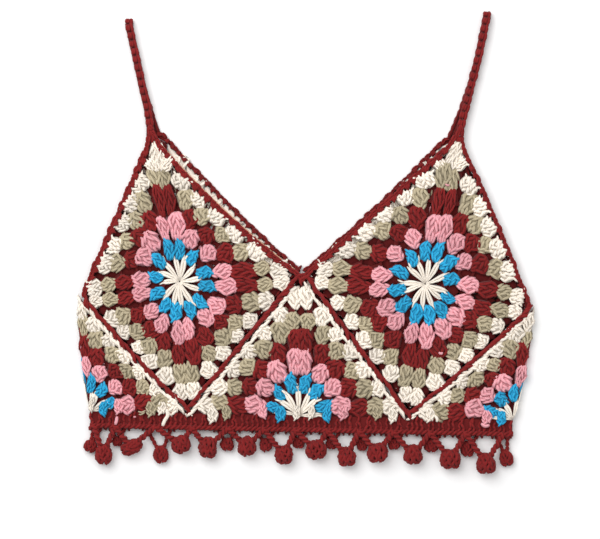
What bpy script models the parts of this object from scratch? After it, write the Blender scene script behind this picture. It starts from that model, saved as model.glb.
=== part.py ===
"""Sleeveless crochet crop top, laid flat on its back.

Four granny squares on point make the cups, half squares fill in between them
and round the sides, and a red band with a chain-and-bobble trim finishes the
hem. X runs across the chest, +Y towards the straps and +Z up from the surface
it lies on. Tables are in millimetres, the model in metres.
"""
import math
import random

import bmesh
import bpy
from mathutils import Vector

MM = 0.001
TABLE_CENTRE = (-0.224, 0.09)
SMOOTH_ANGLE = 50

# Cloth: a back layer on the surface and a front layer on top of it.
WALL = 3.0
LAYER_GAP = 0.4
SEAM_GAP = 0.3
BACK_BOTTOM = 0.0
FRONT_BOTTOM = WALL + LAYER_GAP
PUFF_HEIGHT = 1.7
PUFF_SPREAD = 0.35
FOLD_EDGE = 1.3

# Rounds of a square from its centre: clusters on each side, the round's outer
# edge as a share of the square, how square it is, where its first valley is
# and how wide the eyelets between its clusters are. On the back layer the
# clusters lie half a cluster further round, behind the front's eyelets.
ROUND_COLUMNS = ("yarn", "per_side", "reach", "squareness", "first_valley", "eyelet")
ROUND_ROWS = (
    ("ivory", 3, 0.29, 0.00, 0.5, 0.0),
    ("blue", 3, 0.46, 0.15, 0.0, 4.8),
    ("pink", 4, 0.61, 0.50, 0.0, 4.8),
    ("red", 5, 0.76, 0.80, 0.0, 4.6),
    ("taupe", 6, 0.88, 0.95, 0.0, 0.0),
    ("ivory", 7, 1.00, 1.00, 0.0, 0.0),
)
EYELET_WAIST = 0.55
BACK_SHIFT = 0.5

# Single-crochet rounds: red round each square, ivory along each half square.
EDGE_SHARE = 0.050
EDGE_GAP_SHARE = 0.005
EDGE_SIDE_HEIGHT = 2.4
EDGE_CREST_HEIGHT = 4.4
EDGE_CREST_AT = 0.45
EDGE_STEPS = 8
TIP_CUT = 5.0
TIP_STEP = 0.04

# Corners of each square, counter-clockwise from its top, and how far the side
# that follows each corner bows outwards.
CUP_COLUMNS = ("name", "layer", "corners", "bows", "flower")
CUP_ROWS = (
    ("cup_front_left", "front",
     ((-130.2, 91.7), (-189.6, -44.8), (-99.2, -140.8), (-4.6, -26.8)),
     (0.0, 2.1, 0.0, -5.0), (-106.3, -31.8)),
    ("cup_front_right", "front",
     ((127.6, 90.8), (-3.2, -26.8), (85.0, -145.2), (189.2, -54.8)),
     (0.0, 0.0, 2.1, 2.0), (99.4, -33.9)),
    ("cup_back_left", "back",
     ((-125.5, 99.0), (-189.6, -44.8), (-99.2, -140.8), (-4.6, -22.6)),
     (-1.0, 2.1, 0.0, -2.4), (-104.5, -29.5)),
    ("cup_back_right", "back",
     ((121.0, 95.0), (-3.2, -22.6), (85.0, -145.2), (189.2, -54.8)),
     (-2.4, 0.0, 2.1, 1.0), (98.0, -32.0)),
)
TOP, SECOND, THIRD, FOURTH = range(4)

# The hem band hangs from this line and narrows a little to the left.
HEM_LEFT = (-181.0, -140.6)
HEM_RIGHT = (172.4, -148.0)
HEM_DEPTH = 9.6
HEM_CLUSTERS = 24
HEM_PUFF = 1.4
CHAIN_DEPTH = 3.6

# Half squares: the centre triangle and the quarters that meet at each side
# fold. Each sits clear of the band and of the squares, and bows with them.
HALF_SQUARE_LIFT = 0.4
SIDE_CLEARANCE = 0.35
CORNER_INSET = 0.9
PEAK_DROP = 2.2
FOLD_TOP_DROP = 0.6
SIDE_SEAM_BOW = -2.1
FOLD_BOW = 2.6
FOLD_REACH = 0.2

# Chain loops under the hem: each bobble's centre, radius and half thickness,
# and the two places on the hem's chain that its loop is worked from.
BOBBLE_COLUMNS = ("x", "y", "radius", "half_height", "left_foot", "right_foot")
FRONT_BOBBLES = (
    (-169.5, -177.0, 7.6, 6.6, -178.0, -160.3),
    (-146.9, -170.5, 6.6, 5.6, -160.3, -126.8),
    (-105.0, -168.5, 8.4, 7.0, -126.8, -96.3),
    (-82.5, -171.0, 9.0, 7.4, -96.3, -66.1),
    (-49.8, -170.0, 9.2, 7.4, -66.1, -35.7),
    (-18.8, -177.0, 8.6, 7.0, -35.7, -9.4),
    (8.0, -173.0, 9.2, 7.4, -9.4, 17.5),
    (33.5, -178.6, 9.0, 7.2, 17.5, 43.9),
    (59.4, -175.3, 9.2, 7.4, 43.9, 72.4),
    (89.1, -177.0, 9.2, 7.4, 72.4, 103.4),
    (120.5, -180.8, 9.4, 7.4, 103.4, 133.1),
    (150.2, -184.2, 9.6, 7.4, 133.1, 164.3),
)
BACK_BOBBLES = (
    (-181.0, -170.0, 6.0, 3.0, -178.5, -171.0),
    (-158.5, -166.0, 4.6, 2.6, -166.0, -151.0),
    (-122.0, -177.0, 7.6, 3.4, -135.0, -113.0),
    (-66.5, -168.5, 6.0, 2.8, -75.0, -58.0),
    (-34.0, -169.0, 6.2, 2.8, -43.0, -26.0),
    (-6.5, -167.0, 5.4, 2.6, -15.0, 1.5),
    (21.0, -168.0, 5.2, 2.6, 13.0, 29.0),
    (46.5, -168.5, 5.6, 2.6, 38.0, 55.0),
    (73.5, -168.0, 5.6, 2.8, 65.0, 82.0),
    (104.5, -169.5, 6.4, 2.8, 95.0, 114.0),
    (135.0, -172.5, 6.8, 3.0, 125.0, 145.0),
    (167.5, -180.0, 7.0, 3.2, 158.0, 169.0),
)
BOBBLE_CLEARANCE = 0.4
FRONT_CHAIN = {"radius": 2.1, "foot": 5.8, "rise": 9.3}
BACK_CHAIN = {"radius": 1.4, "foot": 1.6, "rise": 2.2}

# Shoulder straps: the middle line from the cup's tip to the fold at the top.
STRAP_WIDTH = 7.6
STRAP_THICKNESS = 3.2
STRAP_LEG_GAP = 0.5
STRAP_STEPS = 2
STRAP_FOLD_STEPS = 6
STRAP_OVAL = ((-1.0, -0.45), (-0.62, -1.0), (0.62, -1.0), (1.0, -0.45),
              (1.0, 0.45), (0.62, 1.0), (-0.62, 1.0), (-1.0, 0.45))
STRAP_COLUMNS = ("name", "cup", "top", "front", "back")
STRAP_ROWS = (
    ("strap_left", "left", 187.4,
     ((-131.0, 0.0), (-130.8, 97.0), (-132.6, 111.0), (-137.4, 131.2),
      (-142.2, 153.6), (-146.6, 173.0), (-148.8, 0.0)),
     ((-125.2, 0.0), (-128.8, 102.0), (-132.2, 113.0), (-137.4, 131.2),
      (-142.2, 153.6), (-146.6, 173.0), (-148.8, 0.0))),
    ("strap_right", "right", 193.4,
     ((128.0, 0.0), (128.9, 96.0), (132.6, 112.0), (138.6, 135.2),
      (143.9, 155.3), (148.0, 175.3), (151.0, 0.0)),
     ((121.0, 0.0), (125.4, 99.0), (131.8, 114.0), (138.6, 135.2),
      (143.9, 155.3), (148.0, 175.3), (151.0, 0.0))),
)

YARNS = {
    "ivory": (0.83, 0.76, 0.66),
    "blue": (0.03, 0.40, 0.70),
    "pink": (0.78, 0.30, 0.36),
    "red": (0.27, 0.016, 0.020),
    "taupe": (0.46, 0.42, 0.29),
}
YARN_ROUGHNESS = 0.85


def rows(columns, table):
    """Read a short table as dictionaries, one for each row."""
    return [dict(zip(columns, row)) for row in table]


def yarn_material(yarn):
    """Matt cotton yarn in one of the five colours."""
    name = "yarn_" + yarn
    if name in bpy.data.materials:
        return bpy.data.materials[name]
    material = bpy.data.materials.new(name)
    material.use_nodes = True
    shader = material.node_tree.nodes["Principled BSDF"]
    shader.inputs["Base Color"].default_value = (*YARNS[yarn], 1.0)
    shader.inputs["Roughness"].default_value = YARN_ROUGHNESS
    shader.inputs["Metallic"].default_value = 0.0
    return material


def add_piece(name, bm, collection, yarns):
    """Make a named object in metres from a closed bmesh in table millimetres."""
    bmesh.ops.recalc_face_normals(bm, faces=bm.faces)
    shift = (-TABLE_CENTRE[0], -TABLE_CENTRE[1], 0.0)
    bmesh.ops.translate(bm, vec=shift, verts=bm.verts)
    bmesh.ops.scale(bm, vec=(MM, MM, MM), verts=bm.verts)
    mesh = bpy.data.meshes.new(name)
    bm.to_mesh(mesh)
    bm.free()
    for yarn in yarns:
        mesh.materials.append(yarn_material(yarn))
    mesh.shade_smooth()
    mesh.set_sharp_from_angle(angle=math.radians(SMOOTH_ANGLE))
    piece = bpy.data.objects.new(name, mesh)
    collection.objects.link(piece)
    return piece


def side_point(start, end, bow, share):
    """Point on a side that bows to the right of its direction of travel."""
    start, end = Vector(start), Vector(end)
    along = (end - start).normalized()
    outward = Vector((along.y, -along.x))
    return start.lerp(end, share) + outward * bow * 4.0 * share * (1.0 - share)


class Panel:
    """A whole or part square: sides walked counter-clockwise round a flower."""

    def __init__(self, flower, corners, bows, closed, tip_cut=0.0, fold_bow=0.0, fold_turn=0):
        self.flower = Vector(flower)
        self.corners = corners
        self.bows = bows
        self.closed = closed
        self.fold_bow = fold_bow
        self.fold_turn = fold_turn
        self.top = max(corner[1] for corner in corners) - tip_cut
        self.sides = len(bows)

    def outline(self, turn):
        """Point on the outer edge, a whole number of turns at each corner."""
        turn = turn % self.sides if self.closed else min(max(turn, 0.0), self.sides)
        side = min(int(turn), self.sides - 1)
        start = self.corners[side]
        end = self.corners[(side + 1) % len(self.corners)]
        point = side_point(start, end, self.bows[side], turn - side)
        point.y = min(point.y, self.top)
        return point

    def place(self, reach, turn):
        """Point a share of the way from the flower to the outer edge."""
        point = self.flower.lerp(self.outline(turn), reach)
        if self.fold_bow:
            nearness = (1.0 - abs(turn - self.fold_turn)) ** 4
            point.x += self.fold_bow * 4.0 * reach * (1.0 - reach) * nearness
        return point

    def ring_place(self, reach, squareness, turn):
        """Point on a round that changes from a circle into the square."""
        side = math.floor(turn + 1e-9)
        share = turn - side
        swing = 0.5 + 0.5 * math.tan(math.radians(90.0 * share - 45.0))
        share = swing + (share - swing) * squareness
        circle = 1.0 / math.sqrt(1.0 + (2.0 * share - 1.0) ** 2)
        reach *= squareness + (1.0 - squareness) * circle
        return self.place(reach, side + share)


def valleys(panel, spec, shift):
    """Turns at which a round's clusters meet, with a half square's two ends."""
    count = spec["per_side"] * panel.sides
    start = spec["first_valley"] + shift
    turns = [(index + start) / spec["per_side"] for index in range(count)]
    if panel.closed:
        return turns
    inner = [turn for turn in turns if 1e-6 < turn < panel.sides - 1e-6]
    return [0.0] + inner + [float(panel.sides)]


def has_eyelet(panel, spec, turn):
    """Eyelets lie between clusters, away from corners but in the first round."""
    if spec["eyelet"] == 0.0:
        return False
    if not panel.closed and (turn < 1e-6 or turn > panel.sides - 1e-6):
        return False
    at_corner = abs(turn - round(turn)) < 1e-6
    return spec["per_side"] == 3 or not at_corner


def chart_faces(bm, panel, bottom, shift):
    """Lay out one flat cell for each cluster, leaving the eyelets open."""
    specs = rows(ROUND_COLUMNS, ROUND_ROWS)
    turns = [valleys(panel, spec, shift) for spec in specs]
    corners = {}

    def key_of(ring, turn):
        if ring == 0:
            return (0, 0)
        whole = panel.sides if panel.closed else panel.sides + 1
        return (ring, round(turn % whole * 10000))

    def corner(ring, turn):
        key = key_of(ring, turn)
        if key not in corners:
            spec = specs[max(ring - 1, 0)]
            reach = spec["reach"] if ring else 0.0
            spot = panel.ring_place(reach, spec["squareness"], turn)
            corners[key] = bm.verts.new((spot.x, spot.y, bottom))
        return corners[key]

    def waist(ring, turn, way):
        spec = specs[ring]
        inner = specs[ring - 1]["reach"]
        reach = inner + (spec["reach"] - inner) * EYELET_WAIST
        nudge = 0.01
        ahead = panel.ring_place(reach, spec["squareness"], turn + nudge)
        behind = panel.ring_place(reach, spec["squareness"], turn - nudge)
        step = spec["eyelet"] * nudge / (ahead - behind).length
        spot = panel.ring_place(reach, spec["squareness"], turn + way * step)
        return bm.verts.new((spot.x, spot.y, bottom))

    cells = []
    for ring, spec in enumerate(specs):
        marks = turns[ring]
        if panel.closed:
            marks = marks + [marks[0] + panel.sides]
        below = turns[ring - 1] if ring else []
        above = turns[ring + 1] if ring + 1 < len(specs) else list(range(panel.sides))
        for first, last in zip(marks, marks[1:]):
            def between(others):
                shifted = [turn + lap for turn in others for lap in (0, panel.sides)]
                shifted = shifted if panel.closed else others
                return sorted(turn for turn in shifted if first + 1e-6 < turn < last - 1e-6)

            inner = [corner(ring, turn) for turn in [first] + between(below) + [last]]
            outer = [corner(ring + 1, turn) for turn in [first] + between(above) + [last]]
            loop = inner[:1] if ring == 0 else inner
            if has_eyelet(panel, spec, last % panel.sides if panel.closed else last):
                loop = loop + [waist(ring, last, -1)]
            loop = loop + outer[::-1]
            if has_eyelet(panel, spec, first):
                loop = loop + [waist(ring, first, 1)]
            cells.append((bm.faces.new(loop), ring))
    return cells


def thicken(bm, faces, height):
    """Raise a copy of flat faces and wall in the sides; return the top faces."""
    raised = bmesh.ops.extrude_face_region(bm, geom=faces, use_keep_orig=True)
    top_verts = [item for item in raised["geom"] if isinstance(item, bmesh.types.BMVert)]
    top_faces = [item for item in raised["geom"] if isinstance(item, bmesh.types.BMFace)]
    bmesh.ops.translate(bm, vec=(0.0, 0.0, height), verts=top_verts)
    return top_faces


def merge_flat(bm, height):
    """Merge the flat faces that lie at one height into large ones."""
    level = {face for face in bm.faces
             if all(abs(vert.co.z - height) < 1e-5 for vert in face.verts)}
    inner = [edge for edge in bm.edges if level.issuperset(edge.link_faces)]
    bmesh.ops.dissolve_limit(bm, angle_limit=math.radians(1.0), edges=inner,
                             verts=[], use_dissolve_boundaries=False)


def crochet_panel(name, panel, layer, collection, fold_test=None):
    """A granny panel: raised clusters on the front layer, flat on the back one."""
    bm = bmesh.new()
    bottom = FRONT_BOTTOM if layer == "front" else BACK_BOTTOM
    cells = chart_faces(bm, panel, bottom, 0.0 if layer == "front" else BACK_SHIFT)
    for face, ring in cells:
        face.material_index = ring
    top_faces = thicken(bm, [face for face, ring in cells], WALL)
    if layer == "front":
        chance = random.Random(name)
        for face in top_faces:
            material = face.material_index
            poked = bmesh.ops.poke(bm, faces=[face])
            lift = PUFF_HEIGHT + chance.uniform(-PUFF_SPREAD, PUFF_SPREAD)
            poked["verts"][0].co.z += lift
            for piece in poked["faces"]:
                piece.material_index = material
        if fold_test:
            for vert in bm.verts:
                if vert.co.z > bottom + 1e-5 and fold_test(vert.co):
                    vert.co.z = bottom + FOLD_EDGE
    else:
        merge_flat(bm, bottom + WALL)
    merge_flat(bm, bottom)
    yarns = [spec["yarn"] for spec in rows(ROUND_COLUMNS, ROUND_ROWS)]
    return add_piece(name, bm, collection, yarns)


def loft(bm, sections, closed):
    """Skin a run of equal sections into one closed body."""
    rings = [[bm.verts.new(point) for point in section] for section in sections]
    pairs = list(zip(rings, rings[1:] + rings[:1])) if closed else list(zip(rings, rings[1:]))
    for ring, following in pairs:
        for index in range(len(ring)):
            after = (index + 1) % len(ring)
            bm.faces.new((ring[index], ring[after], following[after], following[index]))
    if not closed:
        bm.faces.new(rings[0])
        bm.faces.new(rings[-1])


def edge_turns(panel):
    """Turns for an edge's sections, with two close to each corner."""
    marks = [TIP_STEP] + [step / EDGE_STEPS for step in range(1, EDGE_STEPS)] + [1.0 - TIP_STEP]
    return [side + mark for side in range(panel.sides) for mark in [0.0] + marks]


def crochet_edge(name, panel, layer, collection):
    """The red single-crochet round of a square, a rounded cord-like rim."""
    bottom = FRONT_BOTTOM if layer == "front" else BACK_BOTTOM
    inner_share = 1.0 - EDGE_SHARE
    crest_share = 1.0 - EDGE_SHARE * EDGE_CREST_AT
    sections = []
    for turn in edge_turns(panel):
        outer = panel.place(1.0, turn)
        inner = panel.place(inner_share, turn)
        crest = panel.place(crest_share, turn)
        section = [(outer.x, outer.y, bottom), (inner.x, inner.y, bottom)]
        if layer == "front":
            section += [(inner.x, inner.y, bottom + WALL),
                        (crest.x, crest.y, bottom + EDGE_CREST_HEIGHT),
                        (outer.x, outer.y, bottom + EDGE_SIDE_HEIGHT)]
        else:
            section += [(inner.x, inner.y, bottom + WALL), (outer.x, outer.y, bottom + WALL)]
        sections.append(section)
    bm = bmesh.new()
    loft(bm, sections, closed=True)
    return add_piece(name, bm, collection, ["red"])


def hem_line(x):
    """Height of the hem band's upper edge at a place across the chest."""
    share = (x - HEM_LEFT[0]) / (HEM_RIGHT[0] - HEM_LEFT[0])
    return HEM_LEFT[1] + (HEM_RIGHT[1] - HEM_LEFT[1]) * share


def shrink(panel, share):
    """The same panel with its outer edge drawn in towards the flower."""
    flower = panel.flower
    corners = [tuple(flower.lerp(Vector(corner), share)) for corner in panel.corners]
    bows = [bow * share for bow in panel.bows]
    inner = Panel(flower, corners, bows, panel.closed)
    inner.top = flower.y + (panel.top - flower.y) * share
    return inner


def build_cups(collection):
    """The four squares, each with its red round."""
    for row in rows(CUP_COLUMNS, CUP_ROWS):
        square = Panel(row["flower"], row["corners"], row["bows"], True, tip_cut=TIP_CUT)
        field = shrink(square, 1.0 - EDGE_SHARE - EDGE_GAP_SHARE)
        crochet_panel(row["name"], field, row["layer"], collection)
        edge_name = row["name"].replace("cup", "edge")
        crochet_edge(edge_name, square, row["layer"], collection)


def beside(start, end):
    """A seam's two ends moved off the square, to the right of start to end."""
    start, end = Vector(start), Vector(end)
    along = (end - start).normalized()
    step = Vector((along.y, -along.x)) * SIDE_CLEARANCE
    return start + step, end + step


def on_hem(point, away):
    """A corner dropped on the hem line and moved sideways along it."""
    x = point.x + away
    return (x, hem_line(x) + HALF_SQUARE_LIFT)


def build_half_squares(collection):
    """Centre triangles and the side triangles, halved at the side folds."""
    cups = {row["name"]: row for row in rows(CUP_COLUMNS, CUP_ROWS)}
    for layer in ("front", "back"):
        left = cups["cup_" + layer + "_left"]["corners"]
        right = cups["cup_" + layer + "_right"]["corners"]
        left_low, left_high = beside(left[THIRD], left[FOURTH])
        right_high, right_low = beside(right[SECOND], right[THIRD])
        peak = ((left_high.x + right_high.x) / 2.0, left_high.y - PEAK_DROP)
        flower_x = (left_low.x + right_low.x) / 2.0
        flower = (flower_x, hem_line(flower_x) + HALF_SQUARE_LIFT)
        corners = (on_hem(right_low, -CORNER_INSET), peak, on_hem(left_low, CORNER_INSET))
        centre = Panel(flower, corners, (0.0, 0.0), False)
        crochet_panel("centre_" + layer, centre, layer, collection)

        fold_top, low = beside(left[SECOND], left[THIRD])
        corners = (on_hem(low, -CORNER_INSET), (fold_top.x, fold_top.y - FOLD_TOP_DROP))
        flower = (HEM_LEFT[0], HEM_LEFT[1] + HALF_SQUARE_LIFT)
        side = Panel(flower, corners, (SIDE_SEAM_BOW,), False, fold_bow=-FOLD_BOW, fold_turn=1)
        crochet_panel("side_left_" + layer, side, layer, collection,
                      fold_tester(flower, corners[1]))

        low, fold_top = beside(right[THIRD], right[FOURTH])
        corners = ((fold_top.x, fold_top.y - FOLD_TOP_DROP), on_hem(low, CORNER_INSET))
        flower = (HEM_RIGHT[0], HEM_RIGHT[1] + HALF_SQUARE_LIFT)
        side = Panel(flower, corners, (SIDE_SEAM_BOW,), False, fold_bow=FOLD_BOW, fold_turn=0)
        crochet_panel("side_right_" + layer, side, layer, collection,
                      fold_tester(flower, corners[0]))


def fold_tester(low, high):
    """A test for points on a side fold, from the hem up to its top."""
    low, high = Vector(low), Vector(high)

    def on_fold(co):
        share = (co.y - low.y) / (high.y - low.y)
        line = low.x + (high.x - low.x) * share
        return abs(co.x) - abs(line) > -FOLD_REACH

    return on_fold


def build_hem(collection):
    """The red band: a row of clusters on each layer, from fold to fold."""
    for layer, bottom in (("front", FRONT_BOTTOM), ("back", BACK_BOTTOM)):
        bm = bmesh.new()
        upper, lower = [], []
        for index in range(HEM_CLUSTERS + 1):
            x = HEM_LEFT[0] + (HEM_RIGHT[0] - HEM_LEFT[0]) * index / HEM_CLUSTERS
            y = hem_line(x)
            upper.append(bm.verts.new((x, y, bottom)))
            lower.append(bm.verts.new((x, y - HEM_DEPTH, bottom)))
        cells = []
        for index in range(HEM_CLUSTERS):
            corners = (upper[index], lower[index], lower[index + 1], upper[index + 1])
            cells.append(bm.faces.new(corners))
        tops = thicken(bm, cells, WALL)
        if layer == "front":
            for face in tops:
                bmesh.ops.poke(bm, faces=[face])["verts"][0].co.z += HEM_PUFF
            for vert in bm.verts:
                at_end = vert.co.x < HEM_LEFT[0] + FOLD_REACH or vert.co.x > HEM_RIGHT[0] - FOLD_REACH
                if at_end and vert.co.z > bottom + 1e-5:
                    vert.co.z = bottom + FOLD_EDGE
        else:
            merge_flat(bm, bottom + WALL)
        merge_flat(bm, bottom)
        add_piece("hem_" + layer, bm, collection, ["red"])


def smooth_route(points, steps):
    """Points along a Catmull-Rom curve through a route's own points."""
    route = [Vector(point) for point in points]
    route = [2 * route[0] - route[1]] + route + [2 * route[-1] - route[-2]]
    smooth = []
    for index in range(1, len(route) - 2):
        before, start, end, after = route[index - 1:index + 3]
        for step in range(steps):
            t = step / steps
            smooth.append(0.5 * (2 * start + (end - before) * t
                                 + (2 * before - 5 * start + 4 * end - after) * t ** 2
                                 + (3 * start - before - 3 * end + after) * t ** 3))
    smooth.append(route[-2])
    return smooth


def tube_mesh(name, route, radius):
    """A chain of stitches as a welded tube mesh, in millimetres."""
    curve = bpy.data.curves.new(name, "CURVE")
    curve.dimensions = "3D"
    curve.bevel_depth = radius
    curve.bevel_resolution = 1
    curve.use_fill_caps = True
    spline = curve.splines.new("POLY")
    spline.points.add(len(route) - 1)
    for knot, point in zip(spline.points, route):
        knot.co = (*point, 1.0)
    holder = bpy.data.objects.new(name, curve)
    bpy.context.scene.collection.objects.link(holder)
    bpy.context.view_layer.update()
    evaluated = holder.evaluated_get(bpy.context.evaluated_depsgraph_get())
    mesh = bpy.data.meshes.new_from_object(evaluated)
    bpy.data.objects.remove(holder)
    bpy.data.curves.remove(curve)
    return mesh


def loop_route(bobble, chain):
    """A chain loop from its first foot down to the bobble and up to its second."""
    hang = HEM_DEPTH + SEAM_GAP + CHAIN_DEPTH * 0.5
    centre = BOBBLE_CLEARANCE + bobble["half_height"]
    route = []
    for foot, shares in ((bobble["left_foot"], (0.0, 0.5, 1.0)),
                         (bobble["right_foot"], (0.5, 0.0))):
        y = hem_line(foot) - hang
        for share in shares:
            height = {0.0: chain["foot"], 0.5: chain["rise"], 1.0: centre}[share]
            route.append((foot + (bobble["x"] - foot) * share,
                          y + (bobble["y"] - y) * share, height))
    return route


def add_bobble(lumps, bobble):
    """A crocheted ball, pressed a little flat where it lies."""
    ball = bmesh.ops.create_uvsphere(lumps, u_segments=9, v_segments=6, radius=1.0)
    size = (bobble["radius"], bobble["radius"], bobble["half_height"])
    bmesh.ops.scale(lumps, vec=size, verts=ball["verts"])
    centre = (bobble["x"], bobble["y"], BOBBLE_CLEARANCE + bobble["half_height"])
    bmesh.ops.translate(lumps, vec=centre, verts=ball["verts"])


def build_trim(collection, cutters):
    """Chain loops with bobbles, worked on a chain under each hem."""
    for layer, bottom, table, chain in (("front", FRONT_BOTTOM, FRONT_BOBBLES, FRONT_CHAIN),
                                        ("back", BACK_BOTTOM, BACK_BOBBLES, BACK_CHAIN)):
        lumps = bmesh.new()
        for bobble in rows(BOBBLE_COLUMNS, table):
            add_bobble(lumps, bobble)
            loop = tube_mesh("loop", loop_route(bobble, chain), chain["radius"])
            lumps.from_mesh(loop)
            bpy.data.meshes.remove(loop)
        bmesh.ops.remove_doubles(lumps, verts=lumps.verts, dist=0.001)
        cutter = add_piece("loops_" + layer, lumps, cutters, ["red"])
        cutter.hide_render = True
        cutter.display_type = "WIRE"

        strip = bmesh.new()
        corners = []
        for x in (HEM_LEFT[0], HEM_RIGHT[0]):
            for depth in (0.0, CHAIN_DEPTH):
                y = hem_line(x) - HEM_DEPTH - SEAM_GAP - depth
                corners.append(strip.verts.new((x, y, bottom)))
        face = strip.faces.new((corners[0], corners[1], corners[3], corners[2]))
        thicken(strip, [face], WALL)
        trim = add_piece("trim_" + layer, strip, collection, ["red"])
        union = trim.modifiers.new("loops", "BOOLEAN")
        union.operation = "UNION"
        union.solver = "EXACT"
        union.use_self = True
        union.object = cutter


def strap_frames(front_route, back_route):
    """Places up the front leg, over the fold and down the back leg."""
    low = BACK_BOTTOM + STRAP_THICKNESS / 2.0
    high = low + STRAP_THICKNESS + STRAP_LEG_GAP
    turn_radius = (high - low) / 2.0
    frames = [(Vector((point.x, point.y, high)), 0.0) for point in front_route]
    top = front_route[-1]
    for step in range(1, STRAP_FOLD_STEPS):
        angle = math.pi * step / STRAP_FOLD_STEPS
        spot = Vector((top.x, top.y + math.sin(angle) * turn_radius,
                       low + turn_radius + math.cos(angle) * turn_radius))
        frames.append((spot, angle))
    frames += [(Vector((point.x, point.y, low)), math.pi) for point in reversed(back_route)]
    return frames


def strap_section(frames, index):
    """A flat oval across the strap at one of its places."""
    point, angle = frames[index]
    before = frames[max(index - 1, 0)][0]
    after = frames[min(index + 1, len(frames) - 1)][0]
    heading = Vector((after.x - before.x, after.y - before.y, 0.0))
    at_foot = index in (0, len(frames) - 1)
    if at_foot or 0.01 < angle < math.pi - 0.01:
        heading = Vector((0.0, 1.0, 0.0))
    elif angle > 1.0:
        heading = -heading
    heading.normalize()
    across = Vector((heading.y, -heading.x, 0.0)) * STRAP_WIDTH / 2.0
    outward = Vector((0.0, 0.0, math.cos(angle))) + heading * math.sin(angle)
    outward *= STRAP_THICKNESS / 2.0
    return [point + across * side + outward * rise for side, rise in STRAP_OVAL]


def build_straps(collection):
    """Both straps, each folded over between a front and a back cup's tip."""
    tips = {row["name"]: row["corners"][TOP][1] for row in rows(CUP_COLUMNS, CUP_ROWS)}
    turn_height = STRAP_THICKNESS + STRAP_LEG_GAP / 2.0
    for strap in rows(STRAP_COLUMNS, STRAP_ROWS):
        routes = []
        for layer in ("front", "back"):
            points = [Vector((x, y, 0.0)) for x, y in strap[layer]]
            points[0].y = tips["cup_%s_%s" % (layer, strap["cup"])] - TIP_CUT + SEAM_GAP
            points[-1].y = strap["top"] - turn_height
            routes.append(smooth_route(points, STRAP_STEPS))
        frames = strap_frames(*routes)
        bm = bmesh.new()
        loft(bm, [strap_section(frames, index) for index in range(len(frames))], closed=False)
        add_piece(strap["name"], bm, collection, ["red"])


def build_top():
    """Clear the scene and make every piece of the garment."""
    for item in list(bpy.data.objects):
        bpy.data.objects.remove(item, do_unlink=True)
    garment = bpy.data.collections.new("crochet_top")
    cutters = bpy.data.collections.new("loop_cutters")
    bpy.context.scene.collection.children.link(garment)
    bpy.context.scene.collection.children.link(cutters)
    build_cups(garment)
    build_half_squares(garment)
    build_hem(garment)
    build_trim(garment, cutters)
    build_straps(garment)


build_top()
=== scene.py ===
"""A crocheted granny-square crop top laid flat, stitch by stitch, over its solids."""
import math
import random

import bmesh
import bpy
from mathutils import Matrix, Vector


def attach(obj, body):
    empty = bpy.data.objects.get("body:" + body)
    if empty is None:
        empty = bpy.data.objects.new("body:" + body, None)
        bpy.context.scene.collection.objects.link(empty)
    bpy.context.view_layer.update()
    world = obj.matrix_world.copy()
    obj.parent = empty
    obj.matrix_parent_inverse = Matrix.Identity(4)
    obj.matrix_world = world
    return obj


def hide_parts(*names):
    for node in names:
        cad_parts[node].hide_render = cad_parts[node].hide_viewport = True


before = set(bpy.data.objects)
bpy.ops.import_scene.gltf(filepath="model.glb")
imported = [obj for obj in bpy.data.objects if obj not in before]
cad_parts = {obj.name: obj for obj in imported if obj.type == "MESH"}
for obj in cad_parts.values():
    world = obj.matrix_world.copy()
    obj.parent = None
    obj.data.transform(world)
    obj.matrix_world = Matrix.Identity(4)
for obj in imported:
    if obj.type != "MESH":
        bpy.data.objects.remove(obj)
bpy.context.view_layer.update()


# ---------------------------------------------------------------- cotton yarn
# The top is worked in five colours of matt double-knitting cotton, and a thin
# pale orange line of a sixth colour lies along one neckline. Each yarn is three
# plies twisted together, slightly fluffy, with painted shade in the grooves
# between its plies, and every stitch takes the dye a little differently. Cloth,
# rims and cores that lie under stitches carry a painted shade on that dye.

YARN_COLOURS = {
    "ivory": (0.87, 0.79, 0.69),
    "blue": (0.024, 0.36, 0.62),
    "pink": (0.77, 0.355, 0.395),
    "red": (0.200, 0.012, 0.012),
    "taupe": (0.45, 0.385, 0.26),
    "apricot": (0.78, 0.42, 0.27),
}
PLIES = 3
FIBRES_TO_A_METRE, BLOTCHES_TO_A_METRE = 2600.0, 120.0
# Shares of a stitch's brightness: random dye with any painted shade, painted shade on stitch bodies
# and ply grooves, fibres and blotches.
BRIGHTNESS = {"base": 0.74, "dye": 0.10, "recess_shade": -0.26, "plies": 0.08, "fibre": 0.38,
              "blotch": 0.18}
RELIEF = {"plies": 0.5, "fibre": 0.8}
MM = 0.001
GROOVE = 0.35 * MM
MATT, FLUFF = 0.88, 0.06


class Wire:
    """A node's output, so that a tree's maths can be written as sums."""

    def __init__(self, board, output):
        self.board = board
        self.output = output

    def maths(self, operation, *values):
        return self.board.add("ShaderNodeMath", {"operation": operation}, *values)

    def __add__(self, other):
        return self.maths("ADD", self, other)

    def __rsub__(self, other):
        return self.maths("SUBTRACT", other, self)

    def __mul__(self, other):
        return self.maths("MULTIPLY", self, other)

    __radd__ = __add__

    def sine(self):
        return self.maths("SINE", self)


class Board:
    """A node tree and one way to put any node on it."""

    def __init__(self, tree):
        self.tree = tree
        tree.nodes.clear()

    def add(self, kind, settings=None, *values, first=0, out=0, **named):
        """A new node with its settings, then its inputs by order or by name."""
        node = self.tree.nodes.new(kind)
        for name, setting in (settings or {}).items():
            setattr(node, name, setting)
        inputs = list(enumerate(values, first))
        inputs += [(name.replace("_", " "), value) for name, value in named.items()]
        for key, value in inputs:
            if isinstance(value, Wire):
                self.tree.links.new(value.output, node.inputs[key])
            else:
                node.inputs[key].default_value = value
        return Wire(self, node.outputs[out]) if len(node.outputs) else node


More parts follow.
